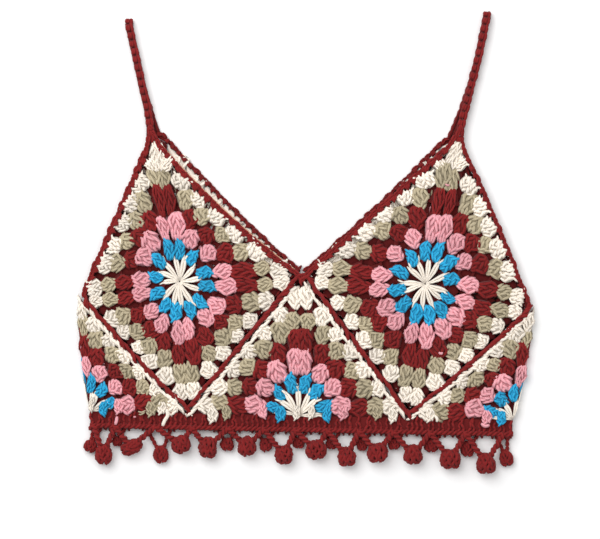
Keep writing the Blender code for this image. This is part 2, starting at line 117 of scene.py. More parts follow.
def cotton(name, colour):
    """Twisted matt cotton: ply grooves along each strand, bumped and darkened with painted shade, a
    mottled dye, and the painted shade that pieces carry.
    """
    material = bpy.data.materials.new(name)
    material.use_nodes = True
    board = Board(material.node_tree)
    strand = board.add("ShaderNodeUVMap", {"uv_map": "strand"})
    around = board.add("ShaderNodeSeparateXYZ", {}, strand, out=0)
    along = board.add("ShaderNodeSeparateXYZ", {}, strand, out=1)
    place = board.add("ShaderNodeTexCoord", out=3)
    # The ply pattern darkens the grooves between plies as painted shade, besides their bump.
    looks = {
        "plies": (around * (PLIES * math.tau) + along * math.tau).sine(),
        "fibre": board.add("ShaderNodeTexNoise", Vector=place, Scale=FIBRES_TO_A_METRE,
                           Detail=2.0, Roughness=0.6),
        "blotch": board.add("ShaderNodeTexNoise", Vector=place, Scale=BLOTCHES_TO_A_METRE,
                            Detail=1.0),
        "dye": board.add("ShaderNodeAttribute", {"attribute_name": "dye"}, out=2),
        "recess_shade": board.add("ShaderNodeAttribute", {"attribute_name": "recess_shade"}, out=2),
    }
    value = BRIGHTNESS["base"]
    for look in ("dye", "recess_shade", "plies", "fibre", "blotch"):
        value = looks[look] * BRIGHTNESS[look] + value
    tint = board.add("ShaderNodeHueSaturation", {}, Value=value, Color=(*colour, 1.0))
    height = looks["plies"] * RELIEF["plies"] + looks["fibre"] * RELIEF["fibre"]
    bump = board.add("ShaderNodeBump", {}, Strength=0.6, Distance=GROOVE, Height=height)
    cloth = board.add("ShaderNodeBsdfPrincipled", {}, Base_Color=tint, Roughness=MATT,
                      Normal=bump, Sheen_Weight=FLUFF, Sheen_Roughness=0.5,
                      Specular_IOR_Level=0.2)
    board.add("ShaderNodeOutputMaterial", {}, Surface=cloth)
    return material


yarns = {name: cotton(name + "_cotton", colour) for name, colour in YARN_COLOURS.items()}


# ------------------------------------------------------------ squares on point
# Four granny squares make the cups, two to a layer. A square is worked from
# its flower outwards: petals, puffs, then rounds of three-treble clusters set
# in the spaces of the round before, with open eyelets between them.

CENTRE = Vector((-0.224, 0.09, 0.0))
BACK, FRONT = 0.0, 3.4
CLOTH_MIDDLE = {"front": FRONT + 1.05, "back": 2.15}
CLOTH_WALL = 1.1
CLOTH_RISE = {"front": 0.9, "back": 0.3}
STITCH_BOTTOM = FRONT + 0.35

ROUND_COLUMNS = ("yarn", "stitch", "per_side", "reach", "squareness", "first_valley",
                 "keep", "from_", "to", "width", "rise")
ROUND_ROWS = (
    ("ivory", "petal", 3, 0.28, 0.00, 0.5, 0.26, 0.010, 0.315, 5.1, 3.8),
    ("blue", "puff", 3, 0.45, 0.15, 0.0, 0.26, 0.228, 0.452, 11.2, 5.0),
    ("pink", "cluster", 4, 0.59, 0.45, 0.0, 0.30, 0.398, 0.640, 18.4, 5.6),
    ("red", "cluster", 5, 0.75, 0.80, 0.0, 0.36, 0.560, 0.782, 18.8, 4.8),
    ("taupe", "cluster", 6, 0.88, 0.95, 0.0, 0.36, 0.704, 0.914, 18.6, 5.0),
    ("ivory", "spiky", 7, 1.00, 1.00, 0.0, 0.40, 0.830, 1.036, 22.0, 5.4),
)
OPEN_SIDES, SEAM_SIDES = (0, 3), (1, 2)
SEAM_REACH, SEAM_WIDTH = 1.014, 17.8
EDGE_SHARE = 0.050
# Painted shade on the cloth cells: deep in the eyelets, slight where the back's last round shows
# inside the neckline.
CLOTH_SHADE = -5.5
NECK_SHADE = -0.2
WAISTS, PETAL_WAISTS = (0.08, 0.90), (0.30, 0.94)
BACK_SQUASH = 0.36
BACK_SHIFT = 0.5
BACK_KEEP = 0.9
BACK_REACH = 0.980
BACK_DROP, NECK_LIFT = 0.3, 0.1
NECK_SPAN = {"from_": 0.86, "to": 0.992, "rise": 4.6}
TIP_CUT = 5.0
SIDE_CUT = 2.2

CUP_COLUMNS = ("name", "layer", "corners", "bows", "flower", "neck")
CUP_ROWS = (
    ("cup_front_left", "front",
     ((-130.2, 91.7), (-189.6, -44.8), (-99.2, -140.8), (-4.6, -26.8)),
     (0.0, 2.1, 0.0, -5.0), (-106.3, -31.8), 3),
    ("cup_front_right", "front",
     ((127.6, 90.8), (-3.2, -26.8), (85.0, -145.2), (189.2, -54.8)),
     (0.0, 0.0, 2.1, 2.0), (99.4, -33.9), 0),
    ("cup_back_left", "back",
     ((-125.5, 99.0), (-189.6, -44.8), (-99.2, -140.8), (-4.6, -22.6)),
     (-1.0, 2.1, 0.0, -2.4), (-104.5, -29.5), 3),
    ("cup_back_right", "back",
     ((121.0, 95.0), (-3.2, -22.6), (85.0, -145.2), (189.2, -54.8)),
     (-2.4, 0.0, 2.1, 1.0), (98.0, -32.0), 0),
)


def rows(columns, table):
    """Read a short table as dictionaries, one for each row."""
    return [dict(zip(columns, row)) for row in table]


rounds = rows(ROUND_COLUMNS, ROUND_ROWS)
cups = rows(CUP_COLUMNS, CUP_ROWS)


class Panel:
    """A whole or part square: sides walked counter-clockwise round a flower."""

    def __init__(self, flower, corners, bows, closed, tip_cut=0.0, fold_bow=0.0, fold_turn=0):
        self.shift = 0.0
        self.neck = None
        self.flower = Vector(flower)
        self.corners = [Vector(corner) for corner in corners]
        self.bows = bows
        self.closed = closed
        self.fold_bow = fold_bow
        self.fold_turn = fold_turn
        self.top = max(corner.y for corner in self.corners) - tip_cut
        outer = max(abs(corner.x) for corner in self.corners) - SIDE_CUT
        self.low_x, self.high_x = -outer, outer
        self.sides = len(bows)

    def outline(self, turn):
        """Point on the outer edge, a whole number of turns at each corner."""
        turn = turn % self.sides if self.closed else min(max(turn, 0.0), self.sides)
        side = min(int(turn), self.sides - 1)
        start = self.corners[side]
        end = self.corners[(side + 1) % len(self.corners)]
        share = turn - side
        along = (end - start).normalized()
        bow = self.bows[side] * 4.0 * share * (1.0 - share)
        point = start.lerp(end, share) + Vector((along.y, -along.x)) * bow
        point.y = min(point.y, self.top)
        if self.closed:
            point.x = min(max(point.x, self.low_x), self.high_x)
        return point

    def place(self, reach, turn):
        """Point a share of the way out from the flower, bowed beside a fold."""
        point = self.flower.lerp(self.outline(turn), reach)
        nearness = max(0.0, 1.0 - abs(turn - self.fold_turn)) ** 4
        point.x += self.fold_bow * 4.0 * reach * (1.0 - reach) * nearness
        return point

    def abreast(self, point, turn):
        """The turn on the same side that lies straight across from a point."""
        side = int(turn)
        start = self.corners[side % self.sides]
        along = self.corners[(side + 1) % len(self.corners)] - start
        share = (point - start).dot(along) / along.length_squared
        return side + min(max(share, 0.02), 0.98)

    def ring_place(self, reach, squareness, turn):
        """Point on a round that changes from a circle into the square."""
        side = math.floor(turn + 1e-9)
        share = turn - side
        swing = 0.5 + 0.5 * math.tan(math.radians(90.0 * share - 45.0))
        share = swing + (share - swing) * squareness
        circle = 1.0 / math.sqrt(1.0 + (2.0 * share - 1.0) ** 2)
        reach *= squareness + (1.0 - squareness) * circle
        return self.place(reach, side + share)

    def shrunk(self, share):
        """The same panel with its outer edge drawn in towards the flower."""
        corners = [self.flower.lerp(corner, share) for corner in self.corners]
        inner = Panel(self.flower, corners, [bow * share for bow in self.bows], self.closed)
        inner.top = self.flower.y + (self.top - self.flower.y) * share
        inner.low_x = self.flower.x + (self.low_x - self.flower.x) * share
        inner.high_x = self.flower.x + (self.high_x - self.flower.x) * share
        return inner

    def shows(self, first, last):
        """Whether a back cluster is seen beyond the front's neckline."""
        return bool(self.shift) and int((first + last) / 2.0) % self.sides == self.neck

    def valleys(self, spec):
        """Turns at which a round's clusters meet, with a half square's ends.

        In the front's side quarters the fold goes through the middle of a cluster.
        """
        if self.fold_bow and not self.shift and spec["stitch"] != "petal":
            step = 1.0 / (spec["per_side"] - 0.5)
            turns = [(index + 0.5) * step for index in range(spec["per_side"] - 1)]
            if self.fold_turn:
                turns = [1.0 - turn for turn in reversed(turns)]
            return [0.0] + turns + [1.0]
        count = spec["per_side"] * self.sides
        start = spec["first_valley"] + self.shift
        turns = [(index + start) / spec["per_side"] for index in range(count)]
        if self.closed:
            return turns + [turns[0] + self.sides]
        inner = [turn for turn in turns if 1e-6 < turn < self.sides - 1e-6]
        return [0.0] + inner + [float(self.sides)]


def at(point, height):
    """A place on the table's plan, lifted to a height in millimetres."""
    return Vector((point[0], point[1], height))


def metres(point):
    """A place in table millimetres as a point in the garment's metres."""
    return (Vector(point) - CENTRE) * MM


def new_piece(name, data):
    """An object in the scene with this mesh, lamp or camera."""
    piece = bpy.data.objects.new(name, data)
    bpy.context.scene.collection.objects.link(piece)
    return piece


def ring_faces(bm, lower, upper):
    """The faces between two closed rings of as many points."""
    faces = []
    for index in range(len(lower)):
        after = (index + 1) % len(lower)
        faces.append(bm.faces.new((lower[index], lower[after], upper[after], upper[index])))
    return faces


PLY_LENGTH, PLY_WIDTH = 5.0, 6.0


def tube(bm, path, radii, sides=5):
    """One strand of yarn along a path, with its twist kept as a UV map."""
    strand = bm.loops.layers.uv.get("strand") or bm.loops.layers.uv.new("strand")
    points = [Vector(point) for point in path]
    if not isinstance(radii, (list, tuple)):
        radii = [radii] * len(points)
    rings, lengths, length = [], [], 0.0
    normal = None
    for index, point in enumerate(points):
        tangent = (points[min(index + 1, len(points) - 1)] - points[max(index - 1, 0)]).normalized()
        if normal is None:
            normal = tangent.orthogonal().normalized()
        normal = (normal - tangent * normal.dot(tangent)).normalized()
        other = tangent.cross(normal)
        ring = []
        for side in range(sides):
            angle = math.tau * side / sides
            spot = point + (normal * math.cos(angle) + other * math.sin(angle)) * radii[index]
            ring.append(bm.verts.new(spot))
        length += (point - points[index - 1]).length if index else 0.0
        rings.append(ring)
        lengths.append(length)
    for number in range(len(rings) - 1):
        low, high = lengths[number:number + 2]
        for side, face in enumerate(ring_faces(bm, rings[number], rings[number + 1])):
            face.smooth = True
            marks = ((side, low), (side + 1, low), (side + 1, high), (side, high))
            for loop, (turn, reach) in zip(face.loops, marks):
                loop[strand].uv = (turn / sides, reach / PLY_LENGTH)
    for ring in (rings[0][::-1], rings[-1]):
        bm.faces.new(ring).smooth = True


# Painted shade for cloth, rails and cores that lie under stitches.
UNDER_SHADE = -4.0


def wound(name, bm, *colours, under=False):
    """A mesh in its yarns, darkened with painted shade if it lies under stitches."""
    mesh = bpy.data.meshes.new(name)
    bm.to_mesh(mesh)
    bm.free()
    if under:
        dye = mesh.attributes.new("dye", "FLOAT", "POINT")
        dye.data.foreach_set("value", [UNDER_SHADE] * len(mesh.vertices))
    for colour in colours:
        mesh.materials.append(yarns[colour])
    return mesh


VARIANTS = 3


def stitch_shape(name, paint):
    """A stitch worked a few times over in millimetres, for others to repeat."""
    kinds = bpy.data.collections.new(name)
    for number in range(VARIANTS):
        bm = bmesh.new()
        paint(bm, random.Random(name + str(number)))
        bmesh.ops.scale(bm, vec=(MM, MM, MM), verts=bm.verts)
        kinds.objects.link(bpy.data.objects.new(name, wound(name, bm)))
    return kinds


def bell(share, peak=0.55):
    """Rises from nought to one at its peak and falls again."""
    return math.sin(math.pi * share ** (math.log(0.5) / math.log(peak)))


class Lump:
    """The rounded body that the strands of one stitch lie on."""

    def __init__(self, chance, width, length, rise, base=0.22, crown=0.22):
        self.width = width * chance.uniform(0.94, 1.06)
        self.length = length
        self.rise = rise
        self.base = base
        self.crown = crown
        self.peak = chance.uniform(0.48, 0.62)
        self.skew = chance.uniform(-1.0, 1.0)

    def top(self, share, side, lift=0.0):
        """A place on its upper face: share runs up it and side across it."""
        full = bell(min(max(share, 0.0), 1.0), self.peak) ** 0.60
        full = full + (1.0 - full) * (self.base + (self.crown - self.base) * share)
        side = max(-1.0, min(side, 1.0))
        arch = math.sqrt(1.0 - 0.86 * side * side)
        sway = self.skew * math.sin(math.pi * share)
        return Vector((side * self.width / 2.0 * full + sway, self.length * share,
                       self.rise * full * arch + lift))

    def paint(self, bm):
        """Its body, a little inside the strands, painted darker as their shade."""
        strand = bm.loops.layers.uv.get("strand") or bm.loops.layers.uv.new("strand")
        recess_shade = bm.verts.layers.float.get("recess_shade") or bm.verts.layers.float.new("recess_shade")
        rings = []
        for share in (0.02, 0.16, 0.38, 0.62, 0.84, 0.96):
            places = [self.top(share, side, -0.5) for side in (-0.9, -0.5, 0.0, 0.5, 0.9)]
            low = [Vector((places[end].x * 0.8, places[end].y, 0.3)) for end in (-1, 0)]
            rings.append([bm.verts.new(place) for place in places + low])
            for vert in rings[-1]:
                vert[recess_shade] = 1.0
        for lower, upper in zip(rings, rings[1:]):
            for face in ring_faces(bm, lower, upper):
                face.smooth = True
                for loop in face.loops:
                    loop[strand].uv = (loop.vert.co.x / PLY_WIDTH, loop.vert.co.y / PLY_LENGTH)
        bm.faces.new(rings[0][::-1])
        bm.faces.new(rings[-1])

    def strokes(self, bm, chance, columns, rows_up, thick, slant=0.95):
        """Trebles side by side, each a post wound with short slanting strands."""
        for column in range(columns):
            middle = ((column + 0.5) / columns * 2.0 - 1.0) * 0.86
            start = 0.5 / rows_up * (column % 2)
            for row in range(rows_up + column % 2):
                way = chance.choice((-1.0, 1.0))
                low = (row + 0.06 + chance.uniform(-0.16, 0.16)) / rows_up - start
                low, high = max(low, 0.01), min(low + 1.3 / rows_up, 0.98)
                lean = (way * slant + chance.uniform(-0.3, 0.3)) / columns
                path = []
                for step in range(4):
                    share = step / 3.0
                    lift = (-0.6, 0.3, 0.3, -0.6)[step] + chance.uniform(-0.12, 0.12)
                    path.append(self.top(low + (high - low) * share,
                                         middle + lean * (share - 0.5) * 2.0, lift))
                tube(bm, path, [thick * 0.7, thick, thick, thick * 0.7])


def paint_cluster(bm, chance):
    """Trebles in one space, with three loose loops over their tops."""
    lump = Lump(chance, 14.0, 16.0, 4.2)
    lump.paint(bm)
    lump.strokes(bm, chance, 4, 3, 1.15)
    for side in (-0.45, 0.1, 0.55):
        side += chance.uniform(-0.12, 0.12)
        path = [lump.top(0.80, side - 0.25, 0.1), lump.top(0.93, side - 0.1, 0.5),
                lump.top(0.98, side + 0.25, 0.1)]
        tube(bm, path, [0.7, 1.0, 0.7])


def paint_spiky(bm, chance):
    """A cluster of the last round, with tall loops that reach for the edge."""
    lump = Lump(chance, 14.4, 14.0, 4.2, crown=0.52)
    lump.paint(bm)
    lump.strokes(bm, chance, 4, 3, 1.05, slant=0.8)
    for side, tall in ((-0.95, 14.0), (-0.5, 15.2), (-0.05, 15.8), (0.4, 15.3), (0.85, 14.2)):
        tall += chance.uniform(-0.7, 0.4)
        lean = side * 7.4 + chance.uniform(-0.7, 0.7)
        foot = lump.top(0.55, side * 0.75, 0.3)
        knee = lump.top(0.84, side * 0.9, 0.4)
        path = [foot, knee, Vector(((knee.x + lean) / 2.0, (knee.y + tall) / 2.0, 3.5)),
                Vector((lean, tall, 2.4))]
        tube(bm, path, [0.9, 1.15, 1.0, 0.5])


def paint_fan(bm, chance):
    """A corner's wide fan, narrow at its top, with loops out at its sides."""
    lump = Lump(chance, 20.0, 22.0, 4.2, base=0.62, crown=0.08)
    lump.peak = 0.42
    lump.paint(bm)
    lump.strokes(bm, chance, 5, 4, 1.05)
    for side in (-1.0, 1.0):
        for low in (6.5, 10.5, 14.5):
            reach = 7.4 - 0.36 * low + chance.uniform(-0.4, 0.4)
            path = [(side * reach * 0.4, low - 3.0, 3.4), (side * reach * 0.8, low, 3.0),
                    (side * (reach + 1.0), low + 2.6, 2.0), (side * (reach + 1.6), low + 4.6, 1.0)]
            tube(bm, path, [0.8, 1.1, 0.9, 0.5])


def paint_petal(bm, chance):
    """Two long strands that part and meet again, and one over their tip."""
    for side, tip in ((-1.0, 1.0), (1.0, 0.93)):
        path, radii = [], []
        for step in range(7):
            share = step / 6.0
            spread = 0.25 + 0.85 * bell(share, 0.62)
            path.append((side * spread + 0.35 * math.sin(4.0 * share),
                         22.0 * tip * share,
                         1.4 + 2.0 * math.sin(math.pi * share ** 0.8)))
            radii.append(0.40 + 0.80 * bell(share, 0.66) ** 0.8)
        tube(bm, path, radii)
    lean = chance.choice((-1.0, 1.0))
    tube(bm, [(0.2 * lean, 17.0, 2.6), (0.9 * lean, 19.6, 3.0), (1.5 * lean, 21.6, 2.6),
              (2.0 * lean, 23.4, 1.6)], [0.5, 0.85, 0.85, 0.5])


def paint_puff(bm, chance):
    """A small round puff with one loop slung over its top."""
    lump = Lump(chance, 8.8, 13.8, 4.4, base=0.55, crown=0.5)
    lump.paint(bm)
    lump.strokes(bm, chance, 3, 3, 0.9)
    lean = chance.choice((-1.0, 1.0))
    tube(bm, [(-1.6 * lean, 9.6, 3.6), (-0.4 * lean, 12.0, 4.0), (1.0 * lean, 13.8, 3.2),
              (1.8 * lean, 15.4, 1.8)], [0.8, 1.1, 1.0, 0.7])


def paint_plain(bm, chance):
    """A plainer, flatter cluster, for the layer underneath."""
    lump = Lump(chance, 14.0, 16.0, 2.2)
    lump.paint(bm)
    lump.strokes(bm, chance, 3, 2, 1.0)


NOMINAL = {"cluster": (14.4, 16.4, 5.2), "spiky": (15.2, 16.0, 5.0), "fan": (20.0, 22.0, 5.2),
           "petal": (4.6, 22.6, 4.4), "puff": (8.8, 14.8, 5.4), "plain": (14.4, 16.2, 2.9)}
shapes = {"cluster": stitch_shape("cluster", paint_cluster),
          "spiky": stitch_shape("spiky_cluster", paint_spiky),
          "fan": stitch_shape("corner_fan", paint_fan),
          "petal": stitch_shape("petal", paint_petal),
          "puff": stitch_shape("puff", paint_puff),
          "plain": stitch_shape("plain_cluster", paint_plain)}


def repeat_tree():
    """Sets one stitch on every spot, turned and sized by the spot, a bit unevenly."""
    tree = bpy.data.node_groups.new("repeat_stitch", "GeometryNodeTree")
    inputs = {"Spots": "Geometry", "Stitch": "Collection", "Yarn": "Material",
              "Turn Spread": "Float", "Size Spread": "Float", "Seed": "Int", "Shade": "Float"}
    for name, kind in inputs.items():
        tree.interface.new_socket(name, in_out="INPUT", socket_type="NodeSocket" + kind)
    tree.interface.new_socket("Stitches", in_out="OUTPUT", socket_type="NodeSocketGeometry")
    board = Board(tree)
    group = tree.nodes.new("NodeGroupInput")
    spots, stitch, yarn, turn_spread, size_spread, seed, shade = [
        Wire(board, output) for output in group.outputs[:len(inputs)]]
    turn = board.add("GeometryNodeInputNamedAttribute", {"data_type": "FLOAT_VECTOR"}, "turn")
    span = board.add("GeometryNodeInputNamedAttribute", {"data_type": "FLOAT_VECTOR"}, "span")

    def chance(kind, low, high, offset):
        """A value drawn for each spot, between a low and a high one."""
        first, out = {"FLOAT_VECTOR": (0, 0), "FLOAT": (2, 1), "INT": (4, 2)}[kind]
        return board.add("FunctionNodeRandomValue", {"data_type": kind}, low, high,
                         first=first, out=out, Seed=seed + offset)

    wobble = board.add("ShaderNodeVectorMath", {"operation": "SCALE"},
                       chance("FLOAT_VECTOR", (-0.4, -0.4, -1.0), (0.4, 0.4, 1.0), 1),
                       Scale=turn_spread)
    rotation = board.add("FunctionNodeEulerToRotation", {}, turn)
    nudge = board.add("FunctionNodeEulerToRotation", {}, wobble)
    rotation = board.add("FunctionNodeRotateRotation", {"rotation_space": "LOCAL"},
                         rotation, nudge)
    size = chance("FLOAT", 1.0 - size_spread, 1.0 + size_spread, 2)
    scale = board.add("ShaderNodeVectorMath", {"operation": "SCALE"}, span, Scale=size)
    kinds = board.add("GeometryNodeCollectionInfo", {}, stitch, True, True)
    placed = board.add("GeometryNodeInstanceOnPoints", {}, spots, Instance=kinds,
                       Pick_Instance=True, Instance_Index=chance("INT", 0, VARIANTS - 1, 4),
                       Rotation=rotation, Scale=scale)
    # Each stitch's random dye, plus the painted shade given for its piece.
    dyed_and_shaded = board.add("GeometryNodeStoreNamedAttribute",
                     {"data_type": "FLOAT", "domain": "INSTANCE"},
                     placed, Name="dye", Value=chance("FLOAT", -1.0, 1.0, 3) + shade)
    real = board.add("GeometryNodeRealizeInstances", {}, dyed_and_shaded)
    coloured = board.add("GeometryNodeSetMaterial", {}, real, Material=yarn)
    end = tree.nodes.new("NodeGroupOutput")
    tree.links.new(coloured.output, end.inputs[0])
    return tree


REPEAT = repeat_tree()


def work(spots, stitch, yarn, seed, turn_spread=0.14, size_spread=0.08, shade=0.0):
    """Work one stitch at each spot in one yarn, darkened by a painted shade if one is given, and
    return the plain mesh.
    """
    mesh = bpy.data.meshes.new("spots")
    mesh.from_pydata([metres(spot["at"]) for spot in spots], [], [])
    turns = mesh.attributes.new("turn", "FLOAT_VECTOR", "POINT")
    spans = mesh.attributes.new("span", "FLOAT_VECTOR", "POINT")
    for index, spot in enumerate(spots):
        turns.data[index].vector = spot["turn"]
        spans.data[index].vector = spot["span"]
    holder = new_piece("spots", mesh)
    repeat = holder.modifiers.new("repeat_stitch", "NODES")
    repeat.node_group = REPEAT
    values = {"Stitch": shapes[stitch], "Yarn": yarns[yarn], "Turn Spread": turn_spread,
              "Size Spread": size_spread, "Seed": seed, "Shade": shade}
    for item in REPEAT.interface.items_tree:
        if item.name in values:
            repeat[item.identifier] = values[item.name]
    bpy.context.view_layer.update()
    evaluated = holder.evaluated_get(bpy.context.evaluated_depsgraph_get())
    worked = bpy.data.meshes.new_from_object(evaluated)
    bpy.data.objects.remove(holder)
    bpy.data.meshes.remove(mesh)
    return worked


PRESSED = 0.3 * MM


def join(name, meshes):
    """Fasten worked meshes off as one piece, its yarn pressed flat on the table."""
    pieces = [new_piece(name, mesh) for mesh in meshes if len(mesh.vertices)]
    with bpy.context.temp_override(active_object=pieces[0], selected_editable_objects=pieces):
        bpy.ops.object.join()
    for vert in pieces[0].data.vertices:
        if vert.co.z < PRESSED:
            vert.co.z = PRESSED * math.exp((vert.co.z - PRESSED) / (3.0 * PRESSED))
    return pieces[0]


UP = Vector((0.0, 0.0, 1.0))


def spot(base, tip, span, out=UP):
    """A stitch that runs from base towards tip, with its face turned outwards."""
    heading = (tip - base).normalized()
    face = (out - heading * out.dot(heading)).normalized()
    basis = Matrix((heading.cross(face), heading, face)).transposed()
    return {"at": base, "turn": tuple(basis.to_euler()), "span": span}


def sized(stitch, base, tip, width, high, out=UP):
    """A stitch that fills a width in millimetres all the way from base to tip."""
    full_width, full_length, _ = NOMINAL[stitch]
    span = (width / full_width, (tip - base).length / full_length, high)
    return spot(base, tip, span, out)


TOP, SECOND, THIRD, FOURTH = range(4)
CORNER_COLUMNS = ("base_pull", "tip_pull", "lift", "reach", "tuck")
CORNER_ROWS = (
    (0.0, 0.0, 0.0, 1.0, 0.0), (0.0, 0.0, 0.0, 1.0, 0.0),
    (0.05, 0.16, 0.0, 0.985, 1.4), (0.05, 0.12, 0.0, 1.000, 3.0),
    (0.01, 0.04, 0.020, 0.985, 3.2), (0.06, 0.15, 0.036, 0.990, 2.6),
)
HALF_SQUARE_TUCK = 0.4
HALF_SQUARE_REACH = (1.0, 1.0, 1.0, 0.950, 0.925, 1.0)
TOP_PULL = {"base_pull": 0.14, "tip_pull": 0.24}
TOP_WIDTH = {3: 0.74, 4: 1.05}
SPIKE_SWING = 0.38
ROOM, SPIKY_ROOM = 1.08, 1.06
FAN_COLUMNS = ("cup", "stitch", "base", "tip", "width")
FAN_ROWS = (
    ("cup_front_left", "spiky", (-124.2, 60.5), (-134.0, 72.0), 13.0),
    ("cup_front_left", "spiky", (-119.6, 60.5), (-114.0, 73.5), 13.0),
    ("cup_front_left", "fan", (-122.4, 60.0), (-128.2, 86.4), 15.0),
    ("cup_front_right", "spiky", (118.4, 61.5), (107.4, 72.0), 14.0),
    ("cup_front_right", "spiky", (124.2, 62.0), (133.0, 71.4), 13.0),
    ("cup_front_right", "fan", (120.8, 61.5), (126.2, 87.0), 15.0),
)


def corner_side(first, last, panel):
    """Which end of a front cluster lies at a corner: -1 its first, 1 its last."""
    if panel.shift:
        return 0
    ends = () if panel.closed else (0, panel.sides)
    at_first, at_last = (abs(turn - round(turn)) < 1e-6 and round(turn) not in ends
                         for turn in (first, last))
    return int(at_last) - int(at_first)


def round_spots(panel, spec, number, bottom, stitch, sides, out):
    """Where a round's stitches start and how long and wide each one is.

    The clusters beside a corner are drawn towards it and tucked in, by the row
    of CORNER_ROWS for their round. The first row holds away from the corners.
    """
    high = spec["rise"] / NOMINAL[stitch][2] * (BACK_SQUASH if panel.shift else 1.0)
    belly = spec["from_"] * 0.4 + spec["to"] * 0.6
    inner = rounds[max(number - 1, 0)]["squareness"]
    outer = spec["squareness"]
    marks = panel.valleys(spec)
    corners = rows(CORNER_COLUMNS, CORNER_ROWS)
    spots = []
    for first, last in zip(marks, marks[1:]):
        if sides and int((first + last) / 2.0) % panel.sides not in sides:
            continue
        corner = corner_side(first, last, panel) if number > 1 else 0
        fit = corners[number if corner else 0]
        if corner and not panel.closed:
            fit = dict(fit, lift=0.0, tuck=fit["tuck"] * HALF_SQUARE_TUCK,
                       reach=fit["reach"] * HALF_SQUARE_REACH[number])
        top = corner and number > 2 and round(last if corner > 0 else first) % panel.sides == TOP
        if top and stitch == "spiky":
            continue
        if top:
            fit = dict(fit, **TOP_PULL)
        middle, pull = (first + last) / 2.0, corner * (last - first)
        foot, goal = middle + fit["base_pull"] * pull, middle + fit["tip_pull"] * pull
        base = panel.ring_place(spec["from_"] + fit["lift"], inner, foot)
        if stitch == "spiky" and not corner:
            swing = (panel.abreast(base, goal) - goal) * SPIKE_SWING
            base = panel.ring_place(spec["from_"], inner, foot - swing)
            goal += swing
        tip = panel.ring_place(spec["to"] * fit["reach"], outer, goal)
        across = panel.ring_place(belly, outer, last) - panel.ring_place(belly, outer, first)
        room = across.length * (SPIKY_ROOM if stitch == "spiky" else ROOM)
        width = min(spec["width"], room) - fit["tuck"]
        width *= TOP_WIDTH[number] if top else 1.0
        spots.append(sized(stitch, at(base, bottom), at(tip, bottom), width, high, out))
    return spots


def corner_fan(cup, bottom):
    """The fan of trebles that fills a cup's uppermost corner."""
    fans = [row for row in rows(FAN_COLUMNS, FAN_ROWS) if row["cup"] == cup]
    for number, row in enumerate(fans):
        base, tip = at(row["base"], bottom), at(row["tip"], bottom)
        fan = sized(row["stitch"], base, tip, row["width"], 1.0)
        yield work([fan], row["stitch"], "ivory", number)


def cloth_cells(bm, panel, height):
    """One thin cell of cloth for each cluster, with the eyelets left open."""
    turns = [panel.valleys(spec) for spec in rounds]
    dye = bm.faces.layers.float.new("dye")
    shared = {}

    def corner(ring, turn):
        """A place where cells meet, made once for all of them."""
        whole = panel.sides if panel.closed else panel.sides + 1
        key = (ring, round(turn % whole * 10000)) if ring else (0, 0)
        if key not in shared:
            spec = rounds[max(ring - 1, 0)]
            reach = spec["reach"] if ring else 0.0
            place = panel.ring_place(reach, spec["squareness"], turn)
            shared[key] = bm.verts.new(metres(at(place, height)))
        return shared[key]

    def waists(ring, first, last, way):
        """The two places where a cell is drawn in beside an eyelet."""
        spec = rounds[ring]
        inner = rounds[ring - 1]["reach"] if ring else 0.0
        keep = BACK_KEEP if panel.shift else spec["keep"]
        drawn = (last - first) * (1.0 - keep) / 2.0
        turn = last - drawn if way < 0 else first + drawn
        found = []
        for share in WAISTS if ring else PETAL_WAISTS:
            reach = inner + (spec["reach"] - inner) * share
            place = panel.ring_place(reach, spec["squareness"], turn)
            found.append(bm.verts.new(metres(at(place, height))))
        return found if way < 0 else found[::-1]

    for ring, spec in enumerate(rounds):
        below = turns[ring - 1] if ring else []
        above = turns[ring + 1] if ring + 1 < len(rounds) else list(range(panel.sides))
        for first, last in zip(turns[ring], turns[ring][1:]):
            def between(others):
                """Corners of the next round's cells that lie along this one."""
                laps = (0, panel.sides) if panel.closed else (0,)
                shifted = {round(turn + lap, 6) for turn in others for lap in laps}
                return sorted(turn for turn in shifted if first + 1e-5 < turn < last - 1e-5)

            inner = [corner(ring, turn) for turn in [first] + between(below) + [last]]
            outer = [corner(ring + 1, turn) for turn in [first] + between(above) + [last]]
            loop = inner[:1] if ring == 0 else inner
            ends = (0.0, float(panel.sides)) if not panel.closed else ()
            if last not in ends:
                loop = loop + waists(ring, first, last, -1)
            loop = loop + outer[::-1]
            if first not in ends:
                loop = loop + waists(ring, first, last, 1)
            cell = bm.faces.new(loop)
            # Cells are dark red with a deep painted shade, standing for the shade seen through the
            # eyelets; where the back's last round shows inside the neckline they are ivory with a
            # slight painted shade.
            seen = ring + 1 == len(rounds) and panel.shows(first, last)
            cell.material_index = int(seen)
            cell[dye] = NECK_SHADE if seen else CLOTH_SHADE


def walled(name, mesh, thickness, offset):
    """A flat mesh made a piece with the thickness of its cloth."""
    piece = new_piece(name, mesh)
    wall = piece.modifiers.new("wall", "SOLIDIFY")
    wall.thickness = thickness * MM
    wall.offset = offset
    return piece


def cloth_piece(name, panel, height, rise):
    """A panel's thin cloth, puffed up a little under each cluster, painted dark with shade."""
    bm = bmesh.new()
    cloth_cells(bm, panel, height)
    middles = bmesh.ops.poke(bm, faces=bm.faces)
    for vert in middles["verts"]:
        vert.co.z += rise * MM
    for face in bm.faces:
        face.smooth = True
    bmesh.ops.recalc_face_normals(bm, faces=bm.faces)
    return walled(name, wound(name, bm, "red", "ivory"), CLOTH_WALL, 0.0)


